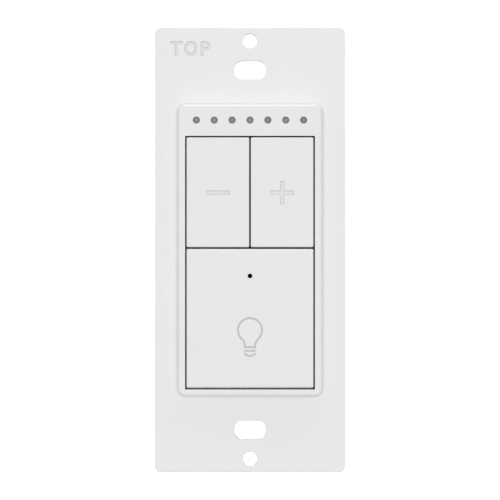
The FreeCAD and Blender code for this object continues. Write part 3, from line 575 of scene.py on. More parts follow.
def strap_windows():
    """Openings that the bezel hides: switches, light pipes, snap legs, pegs, tab screws."""
    windows = [around(name + "_tact", 0.7) for name in ("minus", "plus", "power")]
    pins = led_xs()[-1] + 1.06
    z = led_row_z()
    windows.append(rounded_rect(-pins, pins, z - 1.2, z + 1.2, 0.3, 4))
    windows.append(circle(0, STATUS_Z, 0.8, 24))
    for x in (-LEG_X, LEG_X):
        for z in LEG_ZS:
            half_t = LEG_HALF_T + LEG_SLOT_CLEAR
            half_h = LEG_HALF_H + LEG_SLOT_CLEAR
            windows.append(rounded_rect(x - half_t, x + half_t, z - half_h, z + half_h, 0.1, 2))
    for z in PEG_ZS:
        windows += [circle(x, z, 0.95, 24) for x in (-PEG_X, PEG_X)]
    tab_z = TAB_SCREW_Z
    windows += [circle(x, tab_z, 1.48, 24) for x in (-TAB_SCREW_X, TAB_SCREW_X)]
    return windows


def make_strap():
    low, high = box_mm("mounting_strap")
    face_y = low[1]
    back_y = high[1]
    seat_y = box_mm("rear_housing")[0][1]
    stud_y = box_mm("strap_standoffs")[0][1]
    edge = 0.12
    solid = Solid()
    outer = rounded_rect(low[0], high[0], low[2], high[2], STRAP_CORNER_R)
    face_ring, side_ring = rounded_edge(solid, outer, face_y, STRAP_EDGE_R)
    side_back = wall(solid, side_ring, outer, back_y - edge)
    back_outer = solid.ring(offset(outer, -edge), back_y)
    solid.skin(side_back, back_outer)
    openings = []
    for sign in (-1, 1):
        openings.append(circle(0, sign * HOLE_SPACING / 2.0, HOLE_R))
        z = sign * SLOT_SPACING / 2.0
        half_w, half_h = SLOT_SIZE[0] / 2, SLOT_SIZE[1] / 2
        openings.append(rounded_rect(-half_w, half_w, z - half_h, z + half_h, SLOT_R))
    front_holes, throats = bores(solid, openings, face_y, edge, 4, (face_y + back_y) / 2.0)
    back_holes = []
    for opening, throat in zip(openings, throats):
        flare = solid.ring(offset(opening, HOLE_FLARE), back_y)
        solid.skin(throat, flare, inward=True)
        back_holes.append(flare)
    seat_holes = []
    for window in strap_windows():
        rim = solid.ring(window, face_y)
        front_holes.append(rim)
        seat_holes.append(wall(solid, rim, window, seat_y, 0, True))
    for x, z in four_places(SCREW_X, SCREW_Z):
        pocket = circle(x, z, STUD_R, 32)
        rim = solid.ring(pocket, seat_y)
        seat_holes.append(rim)
        solid.cap([wall(solid, rim, pocket, stud_y, 0, False)], BACK)
    rebate = rebate_outline()
    rebate_rim = solid.ring(rebate, back_y)
    rebate_floor = solid.ring(rebate, seat_y)
    solid.skin(rebate_floor, rebate_rim, inward=True)
    letter_t, letter_o, letter_p = letter_shapes()
    # The letters' sunk walls and floors are painted shade: darker greys in slots 1 and 2
    front_holes.append(groove(solid, letter_t, face_y, 1, 2))
    front_holes.append(ring_groove(solid, *letter_o, face_y, 1, 2, 0))
    front_holes.append(ring_groove(solid, *letter_p, face_y, 1, 2, 0))
    solid.cap([face_ring] + front_holes, FRONT)
    solid.cap([rebate_floor] + seat_holes, BACK)
    solid.cap([back_outer, rebate_rim] + back_holes, BACK)
    finish_piece(solid, "strap_plate", ["strap_paint", "groove_wall_painted_shade", "groove_floor_painted_shade"], "chassis",
                 ["mounting_strap"])


# ---- bezel ----
def led_xs():
    return [(i - (LED_COUNT - 1) / 2.0) * LED_PITCH for i in range(LED_COUNT)]


def key_window():
    """Opening of the bezel: the keys' own boxes grown by the gap round them."""
    low = box_mm("power_paddle")[0]
    high = box_mm("plus_key")[1]
    return low[0] - KEY_GAP, high[0] + KEY_GAP, low[2] - KEY_GAP, high[2] + KEY_GAP


def make_bezel():
    low, high = box_mm("front_bezel")
    face_y = low[1]
    back_y = box_mm("mounting_strap")[0][1]
    half_w = BEZEL_WIDTH / 2.0
    ceiling_y = face_y + BEZEL_FACE_T
    solid = Solid()
    outer = rounded_rect(-half_w, half_w, low[2], high[2], BEZEL_CORNER_R, 12)
    face_ring, side_ring = rounded_edge(solid, outer, face_y, BEZEL_EDGE_R, 10)
    outer_back = wall(solid, side_ring, outer, back_y)
    x0, x1, z0, z1 = key_window()
    window = rounded_rect(x0, x1, z0, z1, 0.2, 4)
    window_rim, window_inner = rounded_edge(solid, window, face_y, 0.10, 3, 0, True)
    lowest = len(window) - 1
    # Painted shade: the window's inner wall takes the near-black carrier plastic (slot 1), a dark
    # sheet on white moulding, so the gaps round the keys read dark
    window_back = wall(solid, window_inner, window, back_y, 1, True, skip=[lowest])
    solid.skin(window_inner, window_back, inward=True, skip=range(lowest))
    led_z = led_row_z()
    led_holes = [circle(x, led_z, LED_HOLE_R, 32) for x in led_xs()]
    rims, ceiling_holes = bores(solid, led_holes, face_y, 0.06, 3, ceiling_y)
    pocket = rounded_rect(x0, x1, BEZEL_BAR_Z, high[2] - BEZEL_END_WALL, 0.4, 4)
    pocket_top = solid.ring(pocket, ceiling_y)
    pocket_back = wall(solid, pocket_top, pocket, back_y, 0, True)
    solid.cap([pocket_top] + ceiling_holes, BACK)
    solid.cap([face_ring, window_rim] + rims, FRONT)
    solid.cap([outer_back, window_back, pocket_back], BACK)
    for sign in (-1, 1):
        for z in LEG_ZS:
            snap_leg(solid, sign, z, high[1])
    # Slot 1 here is the painted shade on the window's inner wall
    finish_piece(solid, "bezel_frame", ["white_plastic", "carrier_plastic"], "chassis",
                 ["front_bezel"])


def snap_leg(solid, sign, z, tip_y):
    """Leg that passes through the strap and hooks behind it."""
    inner = sign * (LEG_X - LEG_HALF_T)
    outer = sign * (LEG_X + LEG_HALF_T)
    hook = sign * (LEG_X + 2.0 * LEG_HALF_T)
    root_y = box_mm("mounting_strap")[0][1] - 0.4
    hook_y = box_mm("rear_housing")[0][1] + 0.05
    profile = [(inner, root_y), (outer, root_y), (outer, hook_y), (hook, hook_y),
               (hook, hook_y + 0.15), (outer, tip_y), (inner, tip_y)]
    if sign < 0:
        profile.reverse()
    top = solid.ring3([(x, y, z + LEG_HALF_H) for x, y in profile])
    low = solid.ring3([(x, y, z - LEG_HALF_H) for x, y in profile])
    solid.skin(top, low)
    solid.cap([top], (0, 0, 1))
    solid.cap([low], (0, 0, -1))


def led_row_z():
    low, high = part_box("level_leds")
    return (low[2] + high[2]) / 2.0 / MM


def make_light_pipes():
    low, high = box_mm("level_light_pipes")
    solid = Solid()
    z = led_row_z()
    bar_low_y = -5.0
    bar_high_y = -3.2
    dome = [(0.0, low[1] + 0.10)]
    for i in range(1, 7):
        a = math.radians(15.0 * i)
        dome.append((0.56 * math.sin(a), low[1] + 0.10 + 0.10 * (1.0 - math.cos(a))))
    for x in led_xs():
        lathe(solid, x, z, dome, 0)
        lathe(solid, x, z, [(0.56, low[1] + 0.2), (0.74, low[1] + 0.28), (0.74, bar_low_y + 0.05),
                            (0.0, bar_low_y + 0.05)], 1)
        lathe(solid, x, z, [(0.0, bar_high_y - 0.05), (0.76, bar_high_y - 0.05), (0.76, high[1]),
                            (0.0, high[1])], 0)
    bar = rounded_rect(low[0], high[0], z - 1.5, z + 1.5, 0.4, 4)
    front, side = rounded_edge(solid, bar, bar_low_y, 0.2, 3, 1)
    back = wall(solid, side, bar, bar_high_y, 1)
    solid.cap([front], FRONT, 1)
    solid.cap([back], BACK, 1)
    finish_piece(solid, "level_windows", ["light_pipe", "light_pipe_rim"], "chassis",
                 ["level_light_pipes"])


# ---- keys ----
def edge_radii(outline, top_r, low_r):
    """Edge radius for every outline point: its own at the top and bottom, blended in the
    corners to the sides' radius."""
    radii = []
    for _, _, nx, nz in outline:
        share = abs(nz) / (abs(nx) + abs(nz))
        end_r = top_r if nz > 0 else low_r
        radii.append(KEY_SIDE_R + (end_r - KEY_SIDE_R) * share)
    return radii


def hollow_key(solid, low, high, top_r, low_r, grooves, holes=()):
    """Cap with rounded front edges, open at the back. low and high are its outer corners."""
    x0, face_y, z0 = low
    x1, back_y, z1 = high
    outer = rounded_rect(x0, x1, z0, z1, KEY_CORNER_R, 6)
    radii = edge_radii(outer, top_r, low_r)
    face_ring, side_ring = rounded_edge(solid, outer, face_y, radii, 8)
    outer_back = wall(solid, side_ring, outer, back_y)
    inner = rounded_rect(x0 + KEY_WALL, x1 - KEY_WALL, z0 + KEY_WALL, z1 - KEY_WALL, 0.3, 4)
    inner_top = solid.ring(inner, face_y + KEY_WALL)
    inner_back = wall(solid, inner_top, inner, back_y, 0, True)
    hole_rims, hole_ends = bores(solid, holes, face_y, 0.05, 3, face_y + KEY_WALL)
    solid.cap([face_ring] + [make(solid) for make in grooves] + hole_rims, FRONT)
    solid.cap([inner_top] + hole_ends, BACK)
    solid.cap([outer_back, inner_back], BACK)


def key_works(solid, low, high, pivot_z, tact_x, tact_z, tip_y):
    """Trunnions in the side walls and the pusher behind the face."""
    for side, wall_x in ((1, low[0] + KEY_WALL), (-1, high[0] - KEY_WALL)):
        shaft = Solid(Matrix.Translation((wall_x, PIVOT_Y, pivot_z))
                      @ Matrix.Rotation(math.radians(-90.0 * side), 4, "Z"))
        lathe(shaft, 0, 0, [(0.0, -0.2), (TRUNNION_R, -0.2), (TRUNNION_R, 1.95),
                            (TRUNNION_R - 0.1, 2.05), (0.0, 2.05)])
        merge(solid, shaft)
        ear_x = wall_x - side * KEY_WALL * 0.4
        ear = rounded_rect(ear_x - 0.5, ear_x + 0.5, pivot_z - 1.4, pivot_z + 1.4, 0.15, 3)
        top = solid.ring(ear, low[1] + KEY_WALL)
        solid.cap([top], FRONT)
        end = wall(solid, top, ear, PIVOT_Y + TRUNNION_R + 0.2)
        solid.cap([end], BACK)
    base_y = low[1] + KEY_WALL - 0.05
    lathe(solid, tact_x, tact_z, [(0.0, base_y), (PUSHER_R, base_y), (PUSHER_R, tip_y - 0.15),
                                  (PUSHER_R - 0.15, tip_y), (0.0, tip_y)])


def merge(target, other):
    shift = len(target.points)
    target.points += other.points
    target.faces += [[i + shift for i in ids] for ids in other.faces]
    target.normals += other.normals
    target.slots += other.slots


def joint_pivot_z(name):
    for joint in frame["record"]["behaviour"]["joints"]:
        if joint["name"] == name:
            return joint["pos_m"][2] / MM
    raise ValueError(name)


def node_centre(node):
    low, high = box_mm(node)
    return [(a + b) / 2.0 for a, b in zip(low, high)]


def key_box(node):
    """Corners of the key's cap: the node's box without its pusher."""
    low, high = box_mm(node)
    high[1] = low[1] + KEY_DEPTH
    for axis in (0, 2):
        low[axis] += KEY_INSET
        high[axis] -= KEY_INSET
    return low, high


def plus_points(a, b):
    """Corners of a plus sign with half-length a and half-width b."""
    return [(-b, -a), (b, -a), (b, -b), (a, -b), (a, b), (b, b), (b, a), (-b, a),
            (-b, b), (-a, b), (-a, -b), (-b, -b)]


def sign_outline(x, with_upright):
    a = SIGN_LEN / 2.0
    b = SIGN_STROKE / 2.0
    points = plus_points(a, b) if with_upright else [(-a, -b), (a, -b), (a, b), (-a, b)]
    return mitred([(x + px, SIGN_Z + pz) for px, pz in points])


def make_small_key(name, sign):
    low, high = key_box(name + "_key")
    x = (low[0] + high[0]) / 2.0
    tact = node_centre(name + "_plunger")
    tip_y = box_mm(name + "_key")[1][1]
    solid = Solid()
    face_y = low[1]
    # The sign is sunk, and its wall and floor are painted shade: darker greys in slots 1 and 2
    hollow_key(solid, low, high, 0.25, 0.45,
               [lambda s: groove(s, sign_outline(x, sign > 0), face_y, 1, 2)])
    key_works(solid, low, high, joint_pivot_z(name + "_press"), tact[0], tact[2], tip_y)
    finish_piece(solid, name + "_key_cap", ["white_plastic", "groove_wall_painted_shade", "groove_floor_painted_shade"],
                 name + "_key", [name + "_key"])


def bulb_outlines():
    """Centre line of the bulb's outline, and of the two strokes below it."""
    lean = math.radians(42.0)
    leave_x = BULB_R * math.sin(lean)
    leave_z = BULB_Z - BULB_R * math.cos(lean)
    globe = arc_points(0, BULB_Z, BULB_R, -48, 228, 60)
    left = [(-leave_x + 0.20, leave_z - 0.22), (-leave_x + 0.36, leave_z - 0.48),
            (-NECK_HALF - 0.15, leave_z - 0.83), (-NECK_HALF - 0.06, leave_z - 1.25),
            (-NECK_HALF, -22.0)]
    right = [(-px, pz) for px, pz in reversed(left)]
    thread = [(-NECK_HALF, -22.80), (0.0, -22.84), (NECK_HALF, -22.80)]
    foot = []
    for i in range(9):
        t = i / 4.0 - 1.0
        foot.append((t * NECK_HALF, -23.5 - 0.48 * (1.0 - t * t)))
    return mitred(globe + left + right), thread, foot


def capsule(points, width):
    """Closed outline of a round-ended stroke along a chain of points, left to right."""
    r = width / 2.0
    lower = []
    upper = []
    for i, (x, z) in enumerate(points):
        a = Vector(points[max(i - 1, 0)])
        b = Vector(points[min(i + 1, len(points) - 1)])
        side = (b - a).normalized()
        lower.append((x + side.y * r, z - side.x * r))
        upper.append((x - side.y * r, z + side.x * r))
    ends = []
    for (x, z), turn in ((points[-1], -90.0), (points[0], 90.0)):
        ends.append(arc_points(x, z, r, turn + 22.5, turn + 157.5, 6))
    return mitred(lower + ends[0] + list(reversed(upper)) + ends[1])


def make_paddle():
    low, high = key_box("power_paddle")
    face_y = low[1]
    centre_line, thread, foot = bulb_outlines()
    half = BULB_STROKE / 2.0
    # The bulb's sunk lines are painted shade: darker greys on their walls (slot 1) and floors
    # (slot 3)
    grooves = [
        lambda s: ring_groove(s, offset(centre_line, half), offset(centre_line, -half), face_y,
                              1, 3, 0),
        lambda s: groove(s, capsule(thread, BULB_STROKE), face_y, 1, 3),
        lambda s: groove(s, capsule(foot, BULB_STROKE), face_y, 1, 3),
    ]
    solid = Solid()
    hollow_key(solid, low, high, 0.5, 0.7, grooves, [circle(0, STATUS_Z, STATUS_R + 0.01, 32)])
    tact = node_centre("power_plunger")
    key_works(solid, low, high, joint_pivot_z("power_press"), tact[0], tact[2],
              box_mm("power_paddle")[1][1])
    finish_piece(solid, "paddle_cap",
                 ["white_plastic", "groove_wall_painted_shade", "groove_floor_painted_shade", "line_floor_painted_shade"],
                 "power_paddle", ["power_paddle"])
    lens_low, lens_high = box_mm("status_lens")
    lens = Solid()
    lathe(lens, 0, STATUS_Z, [(0.0, lens_low[1]), (0.3, lens_low[1] + 0.01),
                              (STATUS_R, lens_low[1] + 0.06), (STATUS_R, lens_high[1]),
                              (0.0, lens_high[1])])
    finish_piece(lens, "status_window", ["smoke_lens"], "power_paddle", ["status_lens"])


# ---- housing and what is on it ----
def facing(azimuth, x=0.0, y=0.0, z=0.0):
    """Frame whose -Y points away from the front (0), to the right (90) or to the back (180)."""
    return (Matrix.Translation((x, y, z))
            @ Matrix.Rotation(math.radians(azimuth), 4, "Z"))


def flat_ring(solid, x0, x1, y, z, half_z):
    low, high = z - half_z, z + half_z
    return solid.ring3([(x0, y, low), (x1, y, low), (x1, y, high), (x0, y, high)])


def side_flats(steps=ARC_STEPS):
    """Numbers of the two long straight segments in a rounded_rect's outline."""
    return [steps, 3 * steps + 2]


def screw_side(sign, shell_low, shell_high):
    """One long side of the shell, with the two holes over the clamp screws."""
    solid = Solid(facing(90 * sign))
    outer_y = -shell_high[0]
    inner_y = outer_y + HOUSING_WALL
    low_x, high_x = sorted((sign * shell_low[1], sign * (shell_high[1] - SEAM_EDGE)))
    half_z = shell_high[2] - HOUSING_CORNER_R
    holes = [circle(sign * CLAMP_SCREW_Y, z, CLAMP_HOLE_R) for z in (-TERMINAL_Z, TERMINAL_Z)]
    rims, ends = bores(solid, holes, outer_y, 0.25, 4, inner_y)
    outside = flat_ring(solid, low_x, high_x, outer_y, 0.0, half_z)
    solid.cap([outside] + rims, FRONT)
    low_x, high_x = sorted((sign * shell_low[1], sign * shell_high[1]))
    inside = flat_ring(solid, low_x, high_x, inner_y, 0.0, half_z)
    solid.cap([inside] + ends, BACK)
    return solid


def make_housing():
    low, high = box_mm("rear_housing")
    solid = Solid()
    outer = rounded_rect(low[0], high[0], low[2], high[2], HOUSING_CORNER_R)
    w = HOUSING_WALL
    inner = rounded_rect(low[0] + w, high[0] - w, low[2] + w, high[2] - w, HOUSING_CORNER_R - w)
    flats = side_flats()
    front = solid.ring(outer, low[1])
    seam = wall(solid, front, outer, high[1] - SEAM_EDGE, skip=flats)
    rim = solid.ring(offset(outer, -SEAM_EDGE), high[1])
    solid.skin(seam, rim)
    front_in = solid.ring(inner, low[1])
    rim_in = wall(solid, front_in, inner, high[1], 0, True, skip=flats)
    solid.cap([front, front_in], FRONT)
    solid.cap([rim, rim_in], BACK)
    for sign in (-1, 1):
        merge(solid, screw_side(sign, low, high))
        for z in (-SCREW_Z, SCREW_Z):
            x = sign * SCREW_X
            end_y = high[1] - 0.01
            lathe(solid, x, z, [(SCREW_HOLE_R, POST_FRONT_Y), (POST_R, POST_FRONT_Y),
                                (POST_R, end_y), (SCREW_HOLE_R, end_y)])
            hole = circle(x, z, SCREW_HOLE_R, 32)
            wall(solid, solid.ring(hole, POST_FRONT_Y), hole, end_y, 0, True)
    finish_piece(solid, "housing_shell", ["housing_plastic"], "chassis", ["rear_housing"])


def make_cover():
    low, high = box_mm("rear_cover")
    seat_y = box_mm("housing_screws")[1][1] - SCREW_HEAD_T
    solid = Solid(facing(180))
    outer = rounded_rect(low[0], high[0], low[2], high[2], HOUSING_CORNER_R)
    face_ring, side = rounded_edge(solid, outer, -high[1], HOUSING_EDGE_R - 0.2, 10)
    side = wall(solid, side, outer, -low[1] - SEAM_EDGE)
    back = solid.ring(offset(outer, -SEAM_EDGE), -low[1])
    solid.skin(side, back)
    wire_holes = [circle(x, z, WIRE_HOLE_R) for x, z in four_places(TERMINAL_X, TERMINAL_Z)]
    rims, ends = bores(solid, wire_holes, -high[1], 0.3, 5, -low[1])
    for x, z in four_places(SCREW_X, SCREW_Z):
        seat = circle(x, z, SCREW_HEAD_R + 0.2, 40)
        rim, inner = rounded_edge(solid, seat, -high[1], 0.15, 3, 0, True)
        rims.append(rim)
        floor = wall(solid, inner, seat, -seat_y, 0, True)
        hole = circle(x, z, SCREW_HOLE_R, 32)
        hole_rim = solid.ring(hole, -seat_y)
        solid.cap([floor, hole_rim], FRONT)
        ends.append(wall(solid, hole_rim, hole, -low[1], 0, True))
    width, height, depth, corner_r = LABEL_RECESS
    label = rounded_rect(-width / 2, width / 2, -height / 2, height / 2, corner_r)
    rims.append(groove(solid, label, -high[1], 0, 1, depth))
    solid.cap([face_ring] + rims, FRONT)
    solid.cap([back] + ends, BACK)
    finish_piece(solid, "cover_plate", ["housing_plastic", "label_field"], "chassis",
                 ["rear_cover"])


def add_shank(solid, under, r, seat_y, tip_y):
    """Closes a screw head's underside with a plain shank."""
    outline = circle(0, 0, r, 32)
    rim = solid.ring(outline, seat_y)
    solid.cap([under, rim], BACK)
    solid.cap([wall(solid, rim, outline, tip_y)], BACK)


def make_cover_screws():
    low, high = box_mm("housing_screws")
    solid = Solid()
    for x, z in four_places(SCREW_X, SCREW_Z):
        screw = Solid(facing(180, x, 0.0, z))
        top = -high[1]
        seat = top + SCREW_HEAD_T
        head = circle(0, 0, SCREW_HEAD_R, 48)
        face_ring, side = rounded_edge(screw, head, top, 0.55, 8)
        under = wall(screw, side, head, seat)
        cross = mitred(plus_points(2.6 / 2.0, 0.7 / 2.0))
        rim = screw.ring(cross, top)
        floor = screw.ring(offset(cross, -0.16), top + 0.7)
        screw.skin(rim, floor, inward=True)
        screw.cap([floor], FRONT)
        screw.cap([face_ring, rim], FRONT)
        add_shank(screw, under, SHANK_R, seat, -low[1])
        merge(solid, screw)
    finish_piece(solid, "cover_screws", ["zinc_steel"], "chassis", ["housing_screws"])


def with_crossings(outline, height):
    """The outline's points, with those added where it crosses the levels +height and -height."""
    points = []
    count = len(outline)
    for i in range(count):
        x0, z0 = outline[i][:2]
        x1, z1 = outline[(i + 1) % count][:2]
        points.append((x0, z0))
        levels = [h for h in (height, -height) if (z0 - h) * (z1 - h) < 0]
        levels.sort(key=lambda h: abs(h - z0))
        for h in levels:
            points.append((x0 + (h - z0) / (z1 - z0) * (x1 - x0), h))
    return points


def slotted_head(solid, outline, top_y, seat_y, slot_w, slot_depth, edge):
    """Screw head seen from -Y with one straight slot across it."""
    floor_y = top_y + slot_depth
    level = slot_w / 2.0
    tiny = 1e-7
    points = with_crossings(outline, level)
    first = min(range(len(points)), key=lambda i: abs(points[i][1] + level) + (points[i][0] < 0))
    points = points[first:] + points[:first]
    for turn in (1, -1):
        moon = [(x, z) for x, z in points if turn * z >= level - tiny]
        if turn < 0:
            start = min(range(len(moon)), key=lambda i: moon[i][0] + abs(moon[i][1] + level))
            moon = moon[start:] + moon[:start]
        moon = mitred(moon)
        face, side = rounded_edge(solid, moon, top_y, edge, 4)
        wall(solid, side, moon, floor_y, smooth=False)
        solid.cap([face], FRONT)
    strip = [(x, z) for x, z in points if abs(z) <= level + tiny]
    solid.cap([solid.ring(strip, floor_y)], FRONT)
    whole = mitred(points)
    return wall(solid, solid.ring(whole, floor_y), whole, seat_y)


def make_clamp_screws():
    face_y = -box_mm("terminal_screws")[1][0]
    seat = face_y + CLAMP_HEAD_T
    head_outline = circle(0, 0, TERMINAL_HEAD_R, 48)
    solid = Solid()
    for sign in (-1, 1):
        for z in (-TERMINAL_Z, TERMINAL_Z):
            screw = Solid(facing(90 * sign, 0.0, CLAMP_SCREW_Y, z))
            head = slotted_head(screw, head_outline, face_y, seat, *CLAMP_SLOT)
            add_shank(screw, head, SHANK_R, seat, seat + CLAMP_SHANK)
            merge(solid, screw)
    finish_piece(solid, "clamp_screws", ["plated_brass"], "chassis", ["terminal_screws"])


def make_terminal(part):
    """Clamp block with a collar round its wire bore and a threaded hole for its screw."""
    low, high = box_mm(part["node"])
    x = (low[0] + high[0]) / 2.0
    z = (low[2] + high[2]) / 2.0
    half_w = (high[0] - low[0]) / 2.0
    half_h = (high[2] - low[2]) / 2.0
    sign = 1 if x > 0 else -1
    mouth = -high[1]
    shoulder = mouth + COLLAR_LENGTH
    corner_r = 0.4
    steps = 4
    solid = Solid(facing(180, x, 0.0, z))
    collar = circle(0, 0, COLLAR_R)
    bore = circle(0, 0, WIRE_BORE_R)
    face_ring, collar_side = rounded_edge(solid, collar, mouth, 0.12, 4)
    bore_rim, bore_side = rounded_edge(solid, bore, mouth, 0.2, 4, 0, True)
    solid.cap([face_ring, bore_rim], FRONT)
    collar_base = wall(solid, collar_side, collar, shoulder)
    # The wire bore's wall and end take slot 1, painted shade
    bore_end = wall(solid, bore_side, bore, mouth + WIRE_BORE_DEPTH, 1, True)
    solid.cap([bore_end], FRONT, 1)
    block = rounded_rect(-half_w, half_w, -half_h, half_h, corner_r, steps)
    block_face = solid.ring(block, shoulder)
    solid.cap([block_face, collar_base], FRONT)
    screw_flat = side_flats(steps)[1 if sign > 0 else 0]
    block_end = wall(solid, block_face, block, -low[1], skip=[screw_flat])
    solid.cap([block_end], BACK)
    side = Solid(facing(90 * sign))
    side_y = -max(abs(low[0]), abs(high[0]))
    near, far = sorted((sign * low[1], -sign * shoulder))
    plane = flat_ring(side, near, far, side_y, z, half_h - corner_r)
    thread = circle(sign * CLAMP_SCREW_Y, z, CLAMP_THREAD_R, 32)
    thread_rim = side.ring(thread, side_y)
    side.cap([plane, thread_rim], FRONT)
    # The threaded hole's wall and end take slot 1, painted shade too
    thread_end = wall(side, thread_rim, thread, side_y + CLAMP_THREAD_DEPTH, 1, True)
    side.cap([thread_end], FRONT, 1)
    merge(solid, side)
    finish_piece(solid, part["node"] + "_block", [part["material_slot"], "bore_painted_shade"],
                 "chassis", [part["node"]])


def make_ground_clip():
    """Bent strip: foot on the strap, leg with a tapped hole behind the housing's end."""
    low, high = box_mm("ground_clip")
    t = CLIP_T
    screw_y = (box_mm("ground_screw")[0][1] + box_mm("ground_screw")[1][1]) / 2.0
    bend = [(high[2] - t - 0.5 + p, low[1] + t + 0.5 - q) for p, q in
            [(0.5 * math.sin(a), 0.5 * math.cos(a))
             for a in [math.radians(15.0 * i) for i in range(7)]]]
    heel = [(high[2] - 1.2 + 1.2 * math.sin(a), low[1] + 1.2 - 1.2 * math.cos(a))
            for a in [math.radians(15.0 * i) for i in range(7)]]
    profile = [(low[2], low[1])] + heel + [(high[2], high[1]), (high[2] - t, high[1])]
    profile += list(reversed(bend)) + [(low[2], low[1] + t)]
    solid = Solid()
    left = solid.ring3([(low[0], y, z) for z, y in profile])
    right = solid.ring3([(high[0], y, z) for z, y in profile])
    outer_flat = len(heel)
    inner_flat = outer_flat + 2
    solid.skin(left, right, skip=(outer_flat, inner_flat))
    solid.cap([left], (-1, 0, 0))
    solid.cap([right], (1, 0, 0))
    rims = []
    for z in (high[2], high[2] - t):
        rims.append(solid.ring3([
            (CLIP_HOLE_R * math.cos(a), screw_y + CLIP_HOLE_R * math.sin(a), z)
            for a in [math.radians(11.25 * i) for i in range(32)]]))
    for flat, rim, towards in ((outer_flat, rims[0], 1), (inner_flat, rims[1], -1)):
        ends = [left[flat], left[flat + 1], right[flat + 1], right[flat]]
        solid.cap([ends, rim], (0, 0, towards))
    solid.skin(rims[0], rims[1], inward=True)
    finish_piece(solid, "earth_clip", ["zinc_steel"], "chassis", ["ground_clip"])


def make_ground_screw():
    low, high = box_mm("ground_screw")
    seat_z = box_mm("ground_clip")[1][2] - CLIP_T
    middle_y = (low[1] + high[1]) / 2.0
    place = (Matrix.Translation((0.0, middle_y, seat_z))
             @ Matrix.Rotation(math.radians(90.0), 4, "X"))
    solid = Solid(place)
    head_t = seat_z - low[2]
    hexagon = []
    for i in range(6):
        a = math.radians(60.0 * i + 30.0)
        hexagon.append((HEX_R * math.sin(a), HEX_R * math.cos(a)))
    hexagon.reverse()
    solid.cap([slotted_head(solid, mitred(hexagon), -head_t, -WASHER_T, *EARTH_SLOT)], BACK)
    lathe(solid, 0, 0, [(0.0, -WASHER_T), (WASHER_R, -WASHER_T), (WASHER_R, 0.0)])
    washer_rim = solid.ring(circle(0, 0, WASHER_R, 32), 0.0)
    add_shank(solid, washer_rim, EARTH_SHANK_R, 0.0, high[2] - seat_z)
    finish_piece(solid, "earth_screw", ["green_steel"], "chassis", ["ground_screw"])


# ---- stage, light and camera ----
FLOOR_Z = -0.12
STAGE_R = 2.5
CAMERA_DISTANCE = 0.270
FRAME_WIDTH = 0.11573
# name, direction of the light, strength, spread in degrees, lights surfaces, shows in reflections
SUNS = (("front_light", (0.0, 1.0, -0.03), 1.95, 25.0, True, False),
        ("top_light", (0.0, 0.42, -0.91), 1.2, 14.0, False, True),
        ("back_light", (0.0, -1.0, -0.30), 1.8, 35.0, True, True))
WORLD_BASE = 0.29
RIM_LOW = 0.12
RIM_HIGH = 0.46
OVERHEAD = 0.7


def make_stage():
    """Pale floor that curves up into a round wall."""
    profile = [(0.0, 0.0), (1.2, 0.0)]
    for i in range(1, 13):
        a = math.radians(7.5 * i)
        profile.append((1.2 + 0.8 * math.sin(a), 0.8 * (1.0 - math.cos(a))))
    profile.append((2.0, STAGE_R))
    steps = 96
    points = [(0.0, 0.0, FLOOR_Z)]
    for r, h in profile[1:]:
        for i in range(steps):
            a = 2.0 * math.pi * i / steps
            points.append((r * math.cos(a), r * math.sin(a), FLOOR_Z + h))
    faces = [(0, 1 + i, 1 + (i + 1) % steps) for i in range(steps)]
    for k in range(len(profile) - 2):
        for i in range(steps):
            a = 1 + k * steps + i
            b = 1 + k * steps + (i + 1) % steps
            faces.append((a, a + steps, b + steps, b))
    mesh = bpy.data.meshes.new("floor")
    mesh.from_pydata(points, [], faces)
    mesh.shade_smooth()
    floor = add_object("floor", mesh)
    material, _, shader, _ = node_material("floor_paper")
    shader.inputs["Base Color"].default_value = (0.86, 0.86, 0.86, 1.0)
    shader.inputs["Roughness"].default_value = 0.9
    shader.inputs["Specular IOR Level"].default_value = 0.0
    shader.inputs["Emission Color"].default_value = (1.0, 1.0, 1.0, 1.0)
    shader.inputs["Emission Strength"].default_value = 0.5
    mesh.materials.append(material)
    floor.visible_diffuse = False
    floor.visible_glossy = False
    floor.visible_shadow = False


def add_sun(name, towards, strength, spread_deg, diffuse, glossy):
    light = bpy.data.lights.new(name, "SUN")
    light.energy = strength
    light.angle = math.radians(spread_deg)
    lamp = add_object(name, light)
    lamp.rotation_mode = "QUATERNION"
    lamp.rotation_quaternion = Vector(towards).to_track_quat("-Z", "Y")
    lamp.visible_diffuse = diffuse
    lamp.visible_glossy = glossy


def combine(tree, operation, *sources):
    node = tree.nodes.new("ShaderNodeMath")
    node.operation = operation
    for i, source in enumerate(sources):
        tree.links.new(source, node.inputs[i])
    return node.outputs["Value"]


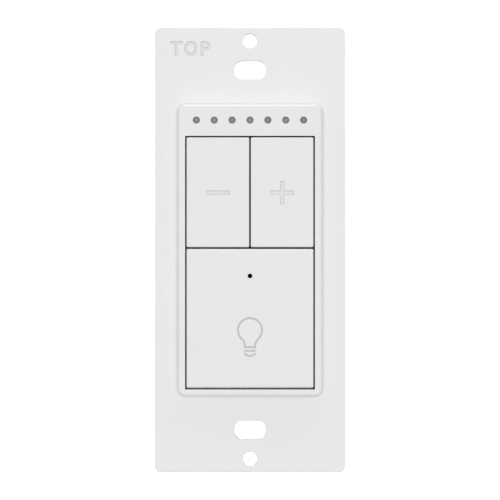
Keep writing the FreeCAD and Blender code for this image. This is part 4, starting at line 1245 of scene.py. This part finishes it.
def make_world():
    """Studio surroundings: dim straight in front, bright all round the rim, brightest above."""
    world = bpy.data.worlds.new("studio")
    bpy.context.scene.world = world
    world.use_nodes = True
    tree = world.node_tree
    coords = tree.nodes.new("ShaderNodeTexCoord")
    split = tree.nodes.new("ShaderNodeSeparateXYZ")
    tree.links.new(coords.outputs["Generated"], split.inputs["Vector"])
    frontal = combine(tree, "ABSOLUTE", split.outputs["Y"])
    rim = ranged(tree, frontal, 0.75, 0.45, 0.0, 1.0)
    height = ranged(tree, split.outputs["Z"], -0.8, 0.8, RIM_LOW, RIM_HIGH)
    overhead = ranged(tree, split.outputs["Z"], 0.90, 0.97, WORLD_BASE, OVERHEAD)
    glow = combine(tree, "MULTIPLY_ADD", rim, height, overhead)
    background = tree.nodes["Background"]
    background.inputs["Color"].default_value = (1.0, 1.0, 1.0, 1.0)
    tree.links.new(glow, background.inputs["Strength"])


def make_camera():
    data = bpy.data.cameras.new("camera")
    data.sensor_width = 36.0
    data.lens = data.sensor_width * CAMERA_DISTANCE / FRAME_WIDTH
    data.clip_start = 0.01
    camera = add_object("camera", data)
    front_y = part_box("mounting_strap")[0][1]
    camera.location = (0.0, front_y - CAMERA_DISTANCE, 0.0)
    camera.rotation_euler = (math.radians(90.0), 0.0, 0.0)
    bpy.context.scene.camera = camera


def paint_frame_nodes():
    """Every CAD node gets the procedural finish of its material slot."""
    for part in frame["record"]["subparts"]:
        node = frame["nodes"][part["node"]]
        material = MATERIALS[part["material_slot"]]
        node.data.materials.clear()
        node.data.materials.append(material)


make_camera()
make_stage()
make_world()
for sun in SUNS:
    add_sun(*sun)
bpy.context.scene.view_settings.view_transform = "Standard"

paint_frame_nodes()
make_strap()
make_bezel()
make_light_pipes()
make_small_key("minus", -1)
make_small_key("plus", 1)
make_paddle()
make_housing()
make_cover()
make_cover_screws()
make_clamp_screws()
make_ground_clip()
make_ground_screw()
for subpart in frame["record"]["subparts"]:
    if subpart["node"] in ("terminal_line", "terminal_load", "terminal_neutral",
                           "terminal_traveler"):
        make_terminal(subpart)
